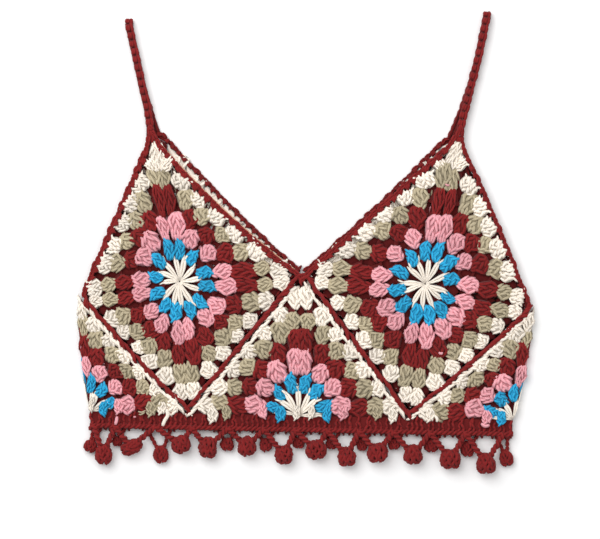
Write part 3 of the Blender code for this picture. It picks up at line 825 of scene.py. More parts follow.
def dress(name, panel, layer, flat, area):
    """Cloth and stitches of one panel, standing for its solid.

    The front's right side faces up and the back's faces the table, apart from
    the strip of its last round that is seen inside the neckline.
    """
    front = layer == "front"
    panel.shift = 0.0 if front else BACK_SHIFT
    height = CLOTH_MIDDLE[layer]
    cloth = cloth_piece(name + "_cloth", panel, height, CLOTH_RISE[layer])
    worked = []
    for number, spec in enumerate(rounds):
        stitch, seed = spec["stitch"], number * 7 + len(name)
        if front and stitch == "spiky":
            seam = dict(spec, to=SEAM_REACH, width=SEAM_WIDTH)
            groups = [("cluster", seam, SEAM_SIDES if panel.closed else (), UP)]
            groups += [("spiky", spec, OPEN_SIDES, UP)] if panel.closed else []
        elif front:
            groups = [(stitch, spec, (), UP)]
        else:
            stitch = "plain" if stitch in ("cluster", "spiky") else stitch
            short = dict(spec, to=min(spec["to"], BACK_REACH))
            groups = [(stitch, short, (), -UP)]
            if number + 1 == len(rounds) and panel.neck is not None:
                groups.append((stitch, dict(spec, **NECK_SPAN), (panel.neck,), UP))
        for stitch, spec, sides, out in groups:
            bottom = STITCH_BOTTOM if front else \
                height + (NECK_LIFT if out.z > 0.0 else -BACK_DROP)
            spots = round_spots(panel, spec, number, bottom, stitch, sides, out)
            worked.append(work(spots, stitch, spec["yarn"], seed))
    worked += corner_fan(name, STITCH_BOTTOM)
    stitches = join(name + "_stitches", worked)
    for piece in (cloth, stitches):
        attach(piece, "root")
    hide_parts(name)


CUP_FLAT, CUP_AREA = (0.158, 0.158), 0.0225

for cup in cups:
    square = Panel(cup["flower"], cup["corners"], cup["bows"], True, tip_cut=TIP_CUT)
    square = square.shrunk(1.0 - EDGE_SHARE)
    square.neck = cup["neck"]
    dress(cup["name"], square, cup["layer"], CUP_FLAT, CUP_AREA)


# ------------------------------------------------- half squares and side folds
# Half a square fills in under the cups at the centre, front and back, and one
# more goes round each side, folded down its middle, so that its clusters wrap
# over the fold. An ivory cord of single crochet runs along each slanted side.

HEM_LEFT = Vector((-181.0, -140.6))
HEM_RIGHT = Vector((172.4, -148.0))
HALF_SQUARE_LIFT = 0.4
SIDE_CLEARANCE = 0.35
CORNER_INSET = 0.9
PEAK_DROP = 2.2
FOLD_TOP_DROP = 0.6
SIDE_SEAM_BOW = -2.1
FOLD_BOW = 2.6
FOLD_HEIGHT, FOLD_INSET, FOLD_WIDTH, FOLD_RISE = 3.3, 0.9, 6.4, 1.8
FLATS = {"centre": ((0.190, 0.120), 0.0118), "side": ((0.078, 0.095), 0.0042)}
PEAK_GAP = 0.045
IVORY_INSET, IVORY_PITCH = 1.1, 3.3
IVORY_CORDS = {"front": {"height": FRONT + 2.0, "span": (0.80, 1.0, 0.92)},
               "back": {"height": BACK + 0.4, "span": (0.80, 1.0, 0.6 * 0.92)}}


def hem_line(x):
    """Height of the hem band's upper edge at a place across the chest."""
    share = (x - HEM_LEFT.x) / (HEM_RIGHT.x - HEM_LEFT.x)
    return HEM_LEFT.y + (HEM_RIGHT.y - HEM_LEFT.y) * share


def beside(start, end):
    """A seam's two ends moved off the square, to the right of start to end."""
    start, end = Vector(start), Vector(end)
    along = (end - start).normalized()
    step = Vector((along.y, -along.x)) * SIDE_CLEARANCE
    return start + step, end + step


def on_hem(point, away):
    """A corner dropped on the hem line and moved sideways along it."""
    x = point.x + away
    return (x, hem_line(x) + HALF_SQUARE_LIFT)


def half_squares(layer):
    """The centre triangle and the two side quarters of one layer."""
    shape = {cup["name"]: cup["corners"] for cup in cups}
    left = shape["cup_" + layer + "_left"]
    right = shape["cup_" + layer + "_right"]
    left_low, left_high = beside(left[THIRD], left[FOURTH])
    right_high, right_low = beside(right[SECOND], right[THIRD])
    peak = ((left_high.x + right_high.x) / 2.0, left_high.y - PEAK_DROP)
    flower = on_hem((left_low + right_low) / 2.0, 0.0)
    corners = (on_hem(right_low, -CORNER_INSET), peak, on_hem(left_low, CORNER_INSET))
    centre = Panel(flower, corners, (0.0, 0.0), False)
    fold_top, low = beside(left[SECOND], left[THIRD])
    corners = (on_hem(low, -CORNER_INSET), (fold_top.x, fold_top.y - FOLD_TOP_DROP))
    left_side = Panel(on_hem(HEM_LEFT, 0.0), corners, (SIDE_SEAM_BOW,), False,
                      fold_bow=-FOLD_BOW, fold_turn=1)
    low, fold_top = beside(right[THIRD], right[FOURTH])
    corners = ((fold_top.x, fold_top.y - FOLD_TOP_DROP), on_hem(low, CORNER_INSET))
    right_side = Panel(on_hem(HEM_RIGHT, 0.0), corners, (SIDE_SEAM_BOW,), False,
                       fold_bow=FOLD_BOW, fold_turn=0)
    return {"centre_" + layer: centre, "side_left_" + layer: left_side,
            "side_right_" + layer: right_side}


def paint_twist(bm, chance):
    """One slanting strand of a cord of single crochet."""
    bulge = chance.uniform(-0.5, 0.5)
    tube(bm, [(-1.2, -0.6, 1.2), (-0.6 + bulge, 2.2, 2.2), (0.6 + bulge, 4.6, 2.3),
              (1.2, 7.4, 1.2)], [0.8, 1.45, 1.55, 0.8], 6)


shapes["twist"] = stitch_shape("twist", paint_twist)


def walk(points, pitch):
    """Places at an even pitch along a route, with its two ends."""
    points = [Vector(point) for point in points]
    lengths = [0.0]
    for start, end in zip(points, points[1:]):
        lengths.append(lengths[-1] + (end - start).length)
    count = max(int(round(lengths[-1] / pitch)), 1)
    found = []
    for index in range(count + 1):
        goal = lengths[-1] * index / count
        leg = 0
        while leg < len(points) - 2 and lengths[leg + 1] < goal:
            leg += 1
        share = (goal - lengths[leg]) / (lengths[leg + 1] - lengths[leg])
        found.append(points[leg].lerp(points[leg + 1], share))
    return found


def run(route, pitch, span, out=UP):
    """Spots for stitches that follow one another along a route."""
    places = walk(route, pitch)
    return [spot(start, end, span, out) for start, end in zip(places, places[1:])]


def outline_route(panel, reach, first, last, height, steps=24):
    """A route along part of a panel's edge."""
    return [at(panel.place(reach, first + (last - first) * step / steps), height)
            for step in range(steps + 1)]


def fold_spots(panel, spec, out):
    """A round's cluster seen side on, where it goes round the fold."""
    base, tip = (at(panel.place(spec[end], panel.fold_turn), FOLD_HEIGHT) - out * FOLD_INSET
                 for end in ("from_", "to"))
    high = FOLD_RISE / NOMINAL[spec["stitch"]][2]
    return [sized(spec["stitch"], base, tip, FOLD_WIDTH, high, out)]


for layer, edging in IVORY_CORDS.items():
    for name, panel in half_squares(layer).items():
        flat, area = FLATS[name.split("_")[0]]
        dress(name, panel, layer, flat, area)
        reach = 1.0 - IVORY_INSET / (panel.outline(0.5) - panel.flower).length
        gap = PEAK_GAP if panel.sides == 2 else 0.0
        worked = []
        for side in range(panel.sides):
            first, last = side + gap * side, side + 1 - gap * (1 - side)
            route = outline_route(panel, reach, first, last, edging["height"])
            worked.append(work(run(route, IVORY_PITCH, edging["span"]), "twist", "ivory", 5,
                               turn_spread=0.3, size_spread=0.12))
        if layer == "front" and name.startswith("side"):
            out = Vector((-1.0 if "left" in name else 1.0, 0.0, 0.0))
            for number, spec in enumerate(rounds):
                worked.append(work(fold_spots(panel, spec, out), spec["stitch"],
                                   spec["yarn"], number))
        cord = join(name + "_cord", worked)
        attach(cord, "root")


# ----------------------------------------------------------- red rounds, seams
# Each square is finished with a round of dark red single crochet. Along the
# neckline and the armholes its stitches reach down between the ivory clusters
# as teeth, under a rim of chains; where squares join it stands up as a cord.

RIM_PITCH = 4.6
TOOTH_PITCH = 7.2
RIM_SIZES = {("cup_front_right", 3): 0.78}
TIP_TURN = 0.05
JOIN, LEFT_FOOT, RIGHT_FOOT = (-4.6, -31.0), (-130.8, 99.0), (129.4, 98.0)
EDGE_ENDS = {("cup_front_left", 0): (LEFT_FOOT, None), ("cup_front_left", 2): (None, JOIN),
             ("cup_front_left", 3): (JOIN, LEFT_FOOT), ("cup_front_right", 0): (RIGHT_FOOT, JOIN),
             ("cup_front_right", 1): (JOIN, None), ("cup_front_right", 3): (None, RIGHT_FOOT)}
CORD_PITCH = 3.5
CORD_REACH, RIM_REACH, TOOTH_REACH = 0.979, 0.984, 0.975
STRIP_REACHES, STRIP_STEPS = (0.958, 0.990), 12
STRIP_HEIGHT, STRIP_THICKNESS = 0.4, 0.9
# The back's red round is darkened by a painted shade.
RED_ROUNDS = {"front": {"bottom": FRONT, "squash": 1.0, "shade": 0.0, "cord": 2.1, "rim": 2.4,
                        "tooth": 2.1, "tooth_size": 0.95},
              "back": {"bottom": BACK, "squash": 0.7, "shade": -1.6, "cord": 0.3, "rim": 1.4,
                       "tooth": 0.1, "tooth_size": 0.5}}
SEEN_TOOTH = {"tooth": 2.6, "tooth_size": 0.72}
BACK_RIM_SIZE = 0.75
PALE_LINE_REACH, PALE_LINE_GAP, PALE_LINE_HEIGHT, PALE_LINE_RADIUS = 1.012, 0.03, 0.8, 0.65


def paint_link(bm, _):
    """The two legs of one chain stitch."""
    for side in (-1.0, 1.0):
        tube(bm, [(side * 0.5, -0.4, 1.2), (side * 1.1, 1.7, 1.9), (side * 0.9, 3.9, 1.9),
                  (side * 0.2, 5.6, 1.2)], [0.9, 1.2, 1.15, 0.8])


def paint_tooth(bm, chance):
    """Three strands that reach down between two clusters to one point."""
    lean = chance.uniform(-0.6, 0.6)
    for side, tall in ((-1.0, 3.6), (0.0, 4.8), (1.0, 3.8)):
        path = [(side * 2.1, -0.9, 1.6), (side * 1.7, 0.9, 2.5),
                (side * 0.9 + lean * 0.5, tall * 0.6, 2.6), (side * 0.3 + lean, tall, 1.6)]
        tube(bm, path, [1.0, 1.25, 1.1, 0.6])


shapes["link"] = stitch_shape("link", paint_link)
shapes["tooth"] = stitch_shape("tooth", paint_tooth)


def edge_strip(name, panel, bottom):
    """The red round's own cloth, a narrow strip all the way round the square, darkened with painted
    shade under its stitches.
    """
    bm = bmesh.new()
    turns = [side + step / STRIP_STEPS for side in range(panel.sides)
             for step in range(STRIP_STEPS)]
    inner, outer = [[bm.verts.new(metres(at(panel.place(reach, turn), bottom)))
                     for turn in turns] for reach in STRIP_REACHES]
    for index in range(len(turns)):
        after = (index + 1) % len(turns)
        bm.faces.new((inner[index], outer[index], outer[after], inner[after]))
    bmesh.ops.recalc_face_normals(bm, faces=bm.faces)
    return walled(name, wound(name, bm, "red", under=True), STRIP_THICKNESS, 1.0)


def edge_route(panel, cup, side, reach, height):
    """Along one side of a square, and on to the strap or to the other cup."""
    start, end = EDGE_ENDS.get((cup["name"], side), (None, None))
    first = side + (TIP_TURN if side == 0 and start else 0.0)
    last = side + 1 - (TIP_TURN if side == 3 and end else 0.0)
    before, after = ([at(place, height)] if place else [] for place in (start, end))
    return before + outline_route(panel, reach, first, last, height) + after


for cup in cups:
    panel = Panel(cup["flower"], cup["corners"], cup["bows"], True, tip_cut=TIP_CUT)
    front = cup["layer"] == "front"
    red = RED_ROUNDS[cup["layer"]]
    bottom, squash, shade = red["bottom"], red["squash"], red["shade"]
    name = cup["name"].replace("cup", "edge")
    strip = edge_strip(name + "_strip", panel, bottom + STRIP_HEIGHT)
    worked = []
    for side in range(panel.sides):
        if side in SEAM_SIDES:
            route = edge_route(panel, cup, side, CORD_REACH, bottom + red["cord"])
            stitch, pitch, span = "twist", CORD_PITCH, (1.0, 1.15, 1.05 * squash)
        else:
            size = RIM_SIZES.get((cup["name"], side), 1.0)
            route = edge_route(panel, cup, side, RIM_REACH, bottom + red["rim"])
            stitch, pitch = "link", RIM_PITCH
            span = (size if front else BACK_RIM_SIZE, 1.0, squash)
            fit = red if front or side != cup["neck"] else SEEN_TOOTH
            inner = outline_route(panel, TOOTH_REACH, side + 0.04, side + 0.98,
                                  bottom + fit["tooth"])
            size *= fit["tooth_size"]
            teeth = [spot(place, at(panel.flower, place.z), (size, size, squash))
                     for place in walk(inner, TOOTH_PITCH)[1:-1]]
            worked.append(work(teeth, "tooth", "red", side + 3, turn_spread=0.2,
                               size_spread=0.14, shade=shade))
        worked.append(work(run(route, pitch, span), stitch, "red", side, turn_spread=0.24,
                           size_spread=0.12, shade=shade))
    # A thin pale orange line runs along the front left cup's neckline, just outside its red rim.
    if cup["name"] == "cup_front_left":
        route = outline_route(panel, PALE_LINE_REACH, cup["neck"] + PALE_LINE_GAP,
                              cup["neck"] + 1.0 - PALE_LINE_GAP, bottom + PALE_LINE_HEIGHT)
        pale_line = bmesh.new()
        tube(pale_line, [metres(place) for place in route], PALE_LINE_RADIUS * MM, 6)
        worked.append(wound("pale_line", pale_line, "apricot"))
    stitches = join(name + "_stitches", worked)
    for piece in (strip, stitches):
        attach(piece, "root")
    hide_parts(name)


# -------------------------------------------------------------------- hem band
# Under the squares runs one row of red trebles in close clusters, with their
# rounded tops among the squares' lowest stitches, on two rows of chains.

HEM_DEPTH = 9.6
HEM_CLUSTERS = 24
HEM_POSTS = 82
POST_WIDTH, POST_TALL, POST_SHORTENING = 1.22, 1.30, 0.54
POST_DROP, POST_LEAN = 1.4, 0.10
CHAIN_DROP = 2.1
CHAIN_DEPTH = 3.9
ROPE_DROP = 2.0
ROPE_PITCH = 4.2
BAND_HEIGHT, BAND_THICKNESS = 0.8, 1.2
SCALLOPS = (0.1, 0.4)
HEMS = {"front": {"bottom": FRONT, "post": 1.15, "rope": 1.05, "rope_height": 1.6},
        "back": {"bottom": BACK, "post": 0.6, "rope": 0.7, "rope_height": 0.3}}


def paint_treble(bm, chance):
    """A tall post of three strands that slant one way and the other."""
    for low, high, way in ((-0.6, 3.8, 1.0), (2.6, 7.0, -1.0), (5.9, 10.2, 1.0)):
        way *= 0.75 + chance.uniform(-0.15, 0.15)
        middle = (low + high) / 2.0 + chance.uniform(-0.3, 0.3)
        tube(bm, [(-way, low, 1.0), (-way * 0.4, middle - 0.8, 2.4),
                  (way * 0.4, middle + 0.8, 2.4), (way, high, 1.0)], [0.7, 1.0, 1.0, 0.7])


def paint_rope(bm, chance):
    """Half a turn of two strands wound round each other."""
    radius, height = 1.05, 1.4
    for start in (0.0, math.pi):
        path = []
        for step in range(7):
            wind = start + math.pi * step / 6.0
            path.append((radius * math.cos(wind), ROPE_PITCH * step / 6.0,
                         height + radius * math.sin(wind)))
        tube(bm, path, 1.25 + chance.uniform(-0.1, 0.1))


shapes["treble"] = stitch_shape("treble", paint_treble)
shapes["rope"] = stitch_shape("rope", paint_rope)


def along_hem(share):
    """How far across the top a share of the way along the hem lies."""
    return HEM_LEFT.x + (HEM_RIGHT.x - HEM_LEFT.x) * share


def hung(x, drop, height):
    """A place a drop below the hem's upper edge."""
    return Vector((x, hem_line(x) - drop, height))


def hem_posts(bottom, rise):
    """The hem's trebles, tallest in the middle of each cluster."""
    for index in range(HEM_POSTS):
        share = (index + 0.5) / HEM_POSTS
        outward = abs(2.0 * (share * HEM_CLUSTERS % 1.0) - 1.0)
        tall = POST_TALL - POST_SHORTENING * outward ** 2
        base = hung(along_hem(share), HEM_DEPTH + POST_DROP, bottom + 0.2)
        lean = POST_LEAN if index % 2 else -POST_LEAN
        yield spot(base, base + Vector((lean, 1.0, 0.0)), (POST_WIDTH, tall, rise))


for layer, hem in HEMS.items():
    name, bottom, thick = "hem_" + layer, hem["bottom"], hem["rope"]
    bm = bmesh.new()
    upper, lower = [], []
    for index in range(HEM_CLUSTERS * 2 + 1):
        x = along_hem(index / (HEM_CLUSTERS * 2))
        for line, drop in ((upper, -SCALLOPS[index % 2]), (lower, HEM_DEPTH + CHAIN_DEPTH)):
            line.append(bm.verts.new(metres(hung(x, drop, bottom + BAND_HEIGHT))))
    for index in range(HEM_CLUSTERS * 2):
        bm.faces.new((upper[index], lower[index], lower[index + 1], upper[index + 1]))
    bmesh.ops.recalc_face_normals(bm, faces=bm.faces)
    # The band's cloth is darkened with painted shade between the trebles.
    cloth = walled(name + "_cloth", wound(name, bm, "red", under=True), BAND_THICKNESS, 1.0)
    worked = [work(list(hem_posts(bottom, hem["post"])), "treble", "red", 11, turn_spread=0.16)]
    ends = [hung(x, HEM_DEPTH + ROPE_DROP, bottom + hem["rope_height"])
            for x in (HEM_LEFT.x, HEM_RIGHT.x)]
    worked.append(work(run(ends, ROPE_PITCH, (thick, 1.0, thick)), "rope", "red", 4,
                       turn_spread=0.05, size_spread=0.03))
    stitches = join(name + "_stitches", worked)
    for piece in (cloth, stitches):
        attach(piece, "root")
    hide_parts(name)


# ------------------------------------------------ stitch tips and yarn ends
# The lowest stitches of the squares reach down over the hem's trebles in their
# own colours, and a few yarn ends left when colours changed lie over the work.

TIP_COLUMNS = ("x", "yarn", "drop", "width")
TIP_ROWS = (
    (-179.0, "ivory", 1.0, 6.0), (-169.5, "blue", 4.2, 9.0), (-158.0, "pink", 1.6, 9.0),
    (-131.0, "taupe", 3.4, 10.0), (-121.0, "ivory", 2.4, 9.0), (-79.5, "ivory", 7.0, 9.6),
    (-68.0, "taupe", 5.2, 9.0), (-37.6, "pink", 3.2, 9.6), (-22.6, "blue", 4.6, 9.6),
    (-8.0, "ivory", 4.4, 7.0), (4.2, "ivory", 3.2, 6.6), (17.2, "blue", 4.4, 8.6),
    (29.6, "pink", 3.0, 9.6), (57.6, "taupe", 2.6, 10.0), (71.0, "ivory", 4.4, 9.0),
    (103.0, "ivory", 3.4, 9.0), (150.6, "pink", 4.6, 10.0),
    (162.8, "blue", 5.2, 8.6),
)
END_COLUMNS = ("yarn", "thick", "places")
END_ROWS = (
    ("pink", 1.5, ((-158.4, -144.6), (-158.8, -148.0), (-159.8, -151.6))),
    ("ivory", 1.6, ((-117.0, -138.4), (-115.8, -143.8), (-118.6, -148.0), (-120.4, -152.6))),
    ("pink", 1.2, ((-144.6, -145.2), (-142.6, -144.8))),
    ("taupe", 0.7, ((-134.4, -139.6), (-138.0, -141.4), (-140.8, -140.4))),
    ("taupe", 0.7, ((-135.2, -141.2), (-138.4, -143.2), (-140.2, -142.8))),
    ("ivory", 0.9, ((-104.4, -138.0), (-104.2, -139.6))),
    ("ivory", 0.9, ((-101.0, -142.0), (-100.6, -144.2))),
    ("ivory", 0.9, ((-96.2, -143.4), (-95.4, -144.2))),
    ("pink", 1.6, ((-39.8, -140.4), (-38.8, -143.8), (-35.4, -144.6), (-33.6, -141.4))),
    ("pink", 1.5, ((146.0, -150.4), (149.2, -153.0), (153.0, -151.8))),
    ("pink", 1.2, ((110.6, -91.0), (112.4, -92.4), (114.0, -91.2))),
    ("ivory", 1.3, ((107.0, -143.6), (109.6, -146.6), (108.8, -149.2))),
    ("pink", 0.9, ((116.0, 49.8), (117.8, 48.4), (119.6, 49.0))),
)
TIP_HEIGHT, TIP_LENGTH, TIP_SQUASH = FRONT + 3.2, 13.0, 0.8
END_HEIGHT, END_STEP = FRONT + 5.4, 1.6

worked = []
for row in rows(TIP_COLUMNS, TIP_ROWS):
    tip = hung(row["x"], row["drop"], TIP_HEIGHT)
    base = tip + Vector((0.0, TIP_LENGTH, 0.0))
    puff = sized("puff", base, tip, row["width"], TIP_SQUASH)
    worked.append(work([puff], "puff", row["yarn"], int(row["x"]) + 200))
ends = bmesh.new()
for row in rows(END_COLUMNS, END_ROWS):
    places = walk([at(place, END_HEIGHT) for place in row["places"]], END_STEP)
    radii = [row["thick"] * MM] * len(places)
    radii[0] = radii[-1] = row["thick"] * 0.6 * MM
    first = len(ends.faces)
    tube(ends, [metres(place) for place in places], radii, 6)
    ends.faces.ensure_lookup_table()
    for face in ends.faces[first:]:
        face.material_index = list(yarns).index(row["yarn"])
worked.append(wound("yarn_ends", ends, *yarns))
loose = join("yarn_ends", worked)
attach(loose, "root")


# ---------------------------------------------------------- chains and bobbles
# A loop of red chain hangs from the hem every few clusters and carries a
# crocheted ball, worked round and round and drawn closed. The front's balls
# lie over the back's, which show small and dark between them.

BOBBLE_COLUMNS = ("x", "y", "radius", "half_height", "left_foot", "right_foot", "form")
FRONT_BOBBLES = (
    (-169.5, -177.0, 8.8, 6.6, -178.0, -160.3, "slit"),
    (-146.9, -170.5, 8.6, 5.8, -160.3, -126.8, "leaf"),
    (-105.0, -168.5, 8.4, 7.0, -126.8, -96.3, "round"),
    (-82.5, -171.0, 9.0, 7.4, -96.3, -66.1, "tall"),
    (-49.8, -170.0, 9.2, 7.4, -66.1, -35.7, "bell"),
    (-18.8, -177.0, 8.6, 7.0, -35.7, -9.4, "point"),
    (8.0, -173.0, 9.2, 7.4, -9.4, 17.5, "round"),
    (33.5, -178.6, 9.0, 7.2, 17.5, 43.9, "bell"),
    (59.4, -175.3, 9.2, 7.4, 43.9, 72.4, "round"),
    (89.1, -177.0, 9.2, 7.4, 72.4, 103.4, "bell"),
    (120.5, -180.8, 9.4, 7.4, 103.4, 133.1, "round"),
    (150.2, -184.2, 9.6, 7.4, 133.1, 164.3, "bell"),
)
BACK_BOBBLES = (
    (-181.0, -170.0, 6.0, 3.0, -178.5, -171.0, "round"),
    (-158.5, -166.0, 4.6, 2.6, -166.0, -151.0, "round"),
    (-122.0, -177.0, 7.6, 3.4, -135.0, -113.0, "slit"),
    (-66.5, -168.5, 6.0, 2.8, -75.0, -58.0, "round"),
    (-34.0, -169.0, 6.2, 2.8, -43.0, -26.0, "point"),
    (-6.5, -167.0, 5.4, 2.6, -15.0, 1.5, "round"),
    (21.0, -168.0, 5.2, 2.6, 13.0, 29.0, "round"),
    (46.5, -168.5, 5.6, 2.6, 38.0, 55.0, "point"),
    (73.5, -168.0, 5.6, 2.8, 65.0, 82.0, "round"),
    (104.5, -169.5, 6.4, 2.8, 95.0, 114.0, "round"),
    (135.0, -172.5, 6.8, 3.0, 125.0, 145.0, "point"),
    (167.5, -180.0, 7.0, 3.2, 158.0, 169.0, "slit"),
)
BOBBLE_CLEARANCE = 0.4
KNOP_ROWS = (-66, -36, -8, 20, 50)
KNOP_BALL, KNOP_PITCH, KNOP_INSET = 9.0, 6.0, 2.9
CORE_RINGS = (-88, -60, -30, 0, 30, 60, 88)
CORE_STEPS, CORE_INSET = 12, 3.2
KNOT_LENGTH = 2.2
CHAINS = {"front": {"foot": 4.6, "rise": 7.6, "thick": 1.22},
          "back": {"foot": 1.2, "rise": 1.8, "thick": 0.8}}


def paint_knop(bm, chance):
    """One stitch of a bobble, two strands that lean together."""
    lean = chance.uniform(-0.6, 0.6)
    for side, bend, tall in ((-1.0, (-0.9, 2.8, 1.0), 4.4), (1.0, (1.0, 2.6, 1.0), 4.0)):
        tube(bm, [(side * 2.4, -1.8, -0.2), (side * 1.9, 0.8, 1.2), bend, (lean, tall, -0.2)],
             [0.9, 1.5, 1.4, 0.8])


shapes["knop"] = stitch_shape("knop", paint_knop)


class Bobble:
    """One ball of the trim, with its pole towards the chain that carries it."""

    FORMS = {"round": (1.0, 1.0, 1.0), "tall": (0.88, 1.12, 0.9), "bell": (1.02, 1.0, 0.62),
             "point": (1.0, 1.08, 1.25), "slit": (0.86, 1.1, 0.9), "leaf": (0.66, 1.3, 0.9)}

    def __init__(self, row):
        self.row = row
        self.middle = Vector((row["x"], row["y"], BOBBLE_CLEARANCE + row["half_height"]))
        foot_x = (row["left_foot"] + row["right_foot"]) / 2.0
        foot = hung(foot_x, HEM_DEPTH, self.middle.z)
        self.pole = (foot - self.middle).normalized()
        if row["form"] == "leaf":
            self.pole = Vector((0.92, 0.40, 0.0))
        self.side = self.pole.cross(UP)
        self.wide, self.long, self.neck = self.FORMS[row["form"]]

    def out(self, latitude, angle):
        """The way outwards at a latitude, and at an angle round the pole."""
        ring = self.side * math.cos(angle) + UP * math.sin(angle)
        return (self.pole * math.sin(latitude) + ring * math.cos(latitude)).normalized()

    def skin(self, latitude, angle, inset):
        """A place on the ball, drawn in at its neck or its tip as its form asks."""
        out = self.out(latitude, angle)
        up = math.sin(latitude)
        draw = 1.0 + (self.neck - 1.0) * 0.5 * (1.0 + up) if self.neck < 1.0 else \
            1.0 + (1.0 / self.neck - 1.0) * 0.5 * (1.0 - up)
        radius = self.row["radius"] - inset
        across = out - self.pole * up
        level = across.z
        across.z = 0.0
        flat = across * radius * self.wide * draw + self.pole * up * radius * self.long
        if self.row["form"] == "slit" and level > 0.0:
            level *= 0.55 + 0.45 * min(1.0, across.length * 1.6)
        flat.z = level * (self.row["half_height"] - inset * 0.8)
        return self.middle + flat

    def spots(self):
        """Stitches round the ball, row over row from its tip to its neck."""
        found = []
        scale = self.row["radius"] / KNOP_BALL
        for row, degrees in enumerate(KNOP_ROWS):
            latitude = math.radians(degrees)
            girth = math.tau * self.row["radius"] * math.cos(latitude)
            count = max(4, round(girth / (KNOP_PITCH * scale)))
            for index in range(count):
                angle = math.tau * (index + 0.5 * (row % 2)) / count
                place, onward = (self.skin(latitude + step, angle, KNOP_INSET * scale)
                                 for step in (0.0, 0.2))
                found.append(spot(place, onward, (scale,) * 3, self.out(latitude, angle)))
        return found

    def core(self):
        """The stuffed middle that the stitches close over, painted dark as the shade between them.
        """
        bm = bmesh.new()
        angles = [math.tau * step / CORE_STEPS for step in range(CORE_STEPS)]
        rings = [[bm.verts.new(metres(self.skin(math.radians(degrees), angle, CORE_INSET)))
                  for angle in angles] for degrees in CORE_RINGS]
        for lower, upper in zip(rings, rings[1:]):
            ring_faces(bm, lower, upper)
        bm.faces.new(rings[0])
        bm.faces.new(rings[-1])
        bmesh.ops.recalc_face_normals(bm, faces=bm.faces)
        mesh = wound("core", bm, "red", under=True)
        mesh.shade_smooth()
        return mesh


for layer, table in (("front", FRONT_BOBBLES), ("back", BACK_BOBBLES)):
    chain = CHAINS[layer]
    thick = chain["thick"]
    worked = []
    for number, row in enumerate(rows(BOBBLE_COLUMNS, table)):
        bobble = Bobble(row)
        for foot in (row["left_foot"], row["right_foot"]):
            start = hung(foot, HEM_DEPTH + CHAIN_DROP, chain["foot"])
            toward = bobble.middle + (start - bobble.middle).normalized() * row["radius"] * 0.5
            middle = start.lerp(toward, 0.5)
            middle.z = max(chain["rise"], middle.z) if layer == "front" else chain["rise"]
            worked.append(work(run([start, middle, toward], ROPE_PITCH, (thick, 1.0, thick)),
                               "rope", "red", number, turn_spread=0.05, size_spread=0.03))
            knot = spot(start - Vector((0.0, KNOT_LENGTH, 0.0)), start, (thick * 1.2, 0.9, thick))
            worked.append(work([knot], "knop", "red", number))
        worked.append(bobble.core())
        worked.append(work(bobble.spots(), "knop", "red", number + 40, turn_spread=0.35,
                           size_spread=0.16))
    trim = join("trim_" + layer + "_stitches", worked)
    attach(trim, "root")
    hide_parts("trim_" + layer)


# ------------------------------------------------------------- shoulder straps
# Each strap is a narrow red crocheted cord, worked from the tip of the front
# cup over the shoulder to the tip of the back one, and lies folded on itself.

STRAP_THICKNESS = 3.2
STRAP_LEG_GAP = 0.5
STRAP_OVERLAP = 2.0
BRAID_PITCH = 6.8
RAIL_APART, RAIL_RADIUS, RAIL_INWARD, RAIL_STEP = 1.7, 1.55, 0.36, 6.0
FOLD_STEPS = 6
FOLD_CAP = ((-2.3, 1.4, 1.0), (-1.0, 2.2, 1.7), (1.0, 2.2, 1.7), (2.3, 1.4, 1.0))
STRAP_COLUMNS = ("side", "foot_x", "top", "front", "back", "both")
STRAP_ROWS = (
    ("left", {"front": -131.0, "back": -125.2}, (-148.8, 187.4),
     ((-130.8, 97.0), (-132.6, 111.0)), ((-128.8, 102.0), (-132.2, 113.0)),
     ((-137.4, 131.2), (-142.2, 153.6), (-146.6, 173.0))),
    ("right", {"front": 128.0, "back": 121.0}, (151.0, 193.4),
     ((128.9, 96.0), (132.6, 112.0)), ((125.4, 99.0), (131.8, 114.0)),
     ((138.6, 135.2), (143.9, 155.3), (148.0, 175.3))),
)


def paint_braid(bm, chance):
    """Two short strands and a long one, side by side."""
    for side in (-1.9, -0.5):
        start = chance.uniform(-0.2, 0.2)
        tube(bm, [(side, start + 0.9, 0.6), (side, start + 2.2, 1.8),
                  (side + 0.3, start + 4.6, 1.8), (side + 0.5, start + 6.2, 0.6)],
             [0.9, 1.4, 1.4, 0.9], 6)
    tube(bm, [(1.7, -1.0, 0.5), (1.9, 0.9, 1.3), (2.1, 3.2, 1.5), (1.9, 5.4, 1.3),
              (1.5, 7.3, 0.5)], [0.8, 1.3, 1.4, 1.3, 0.8], 6)


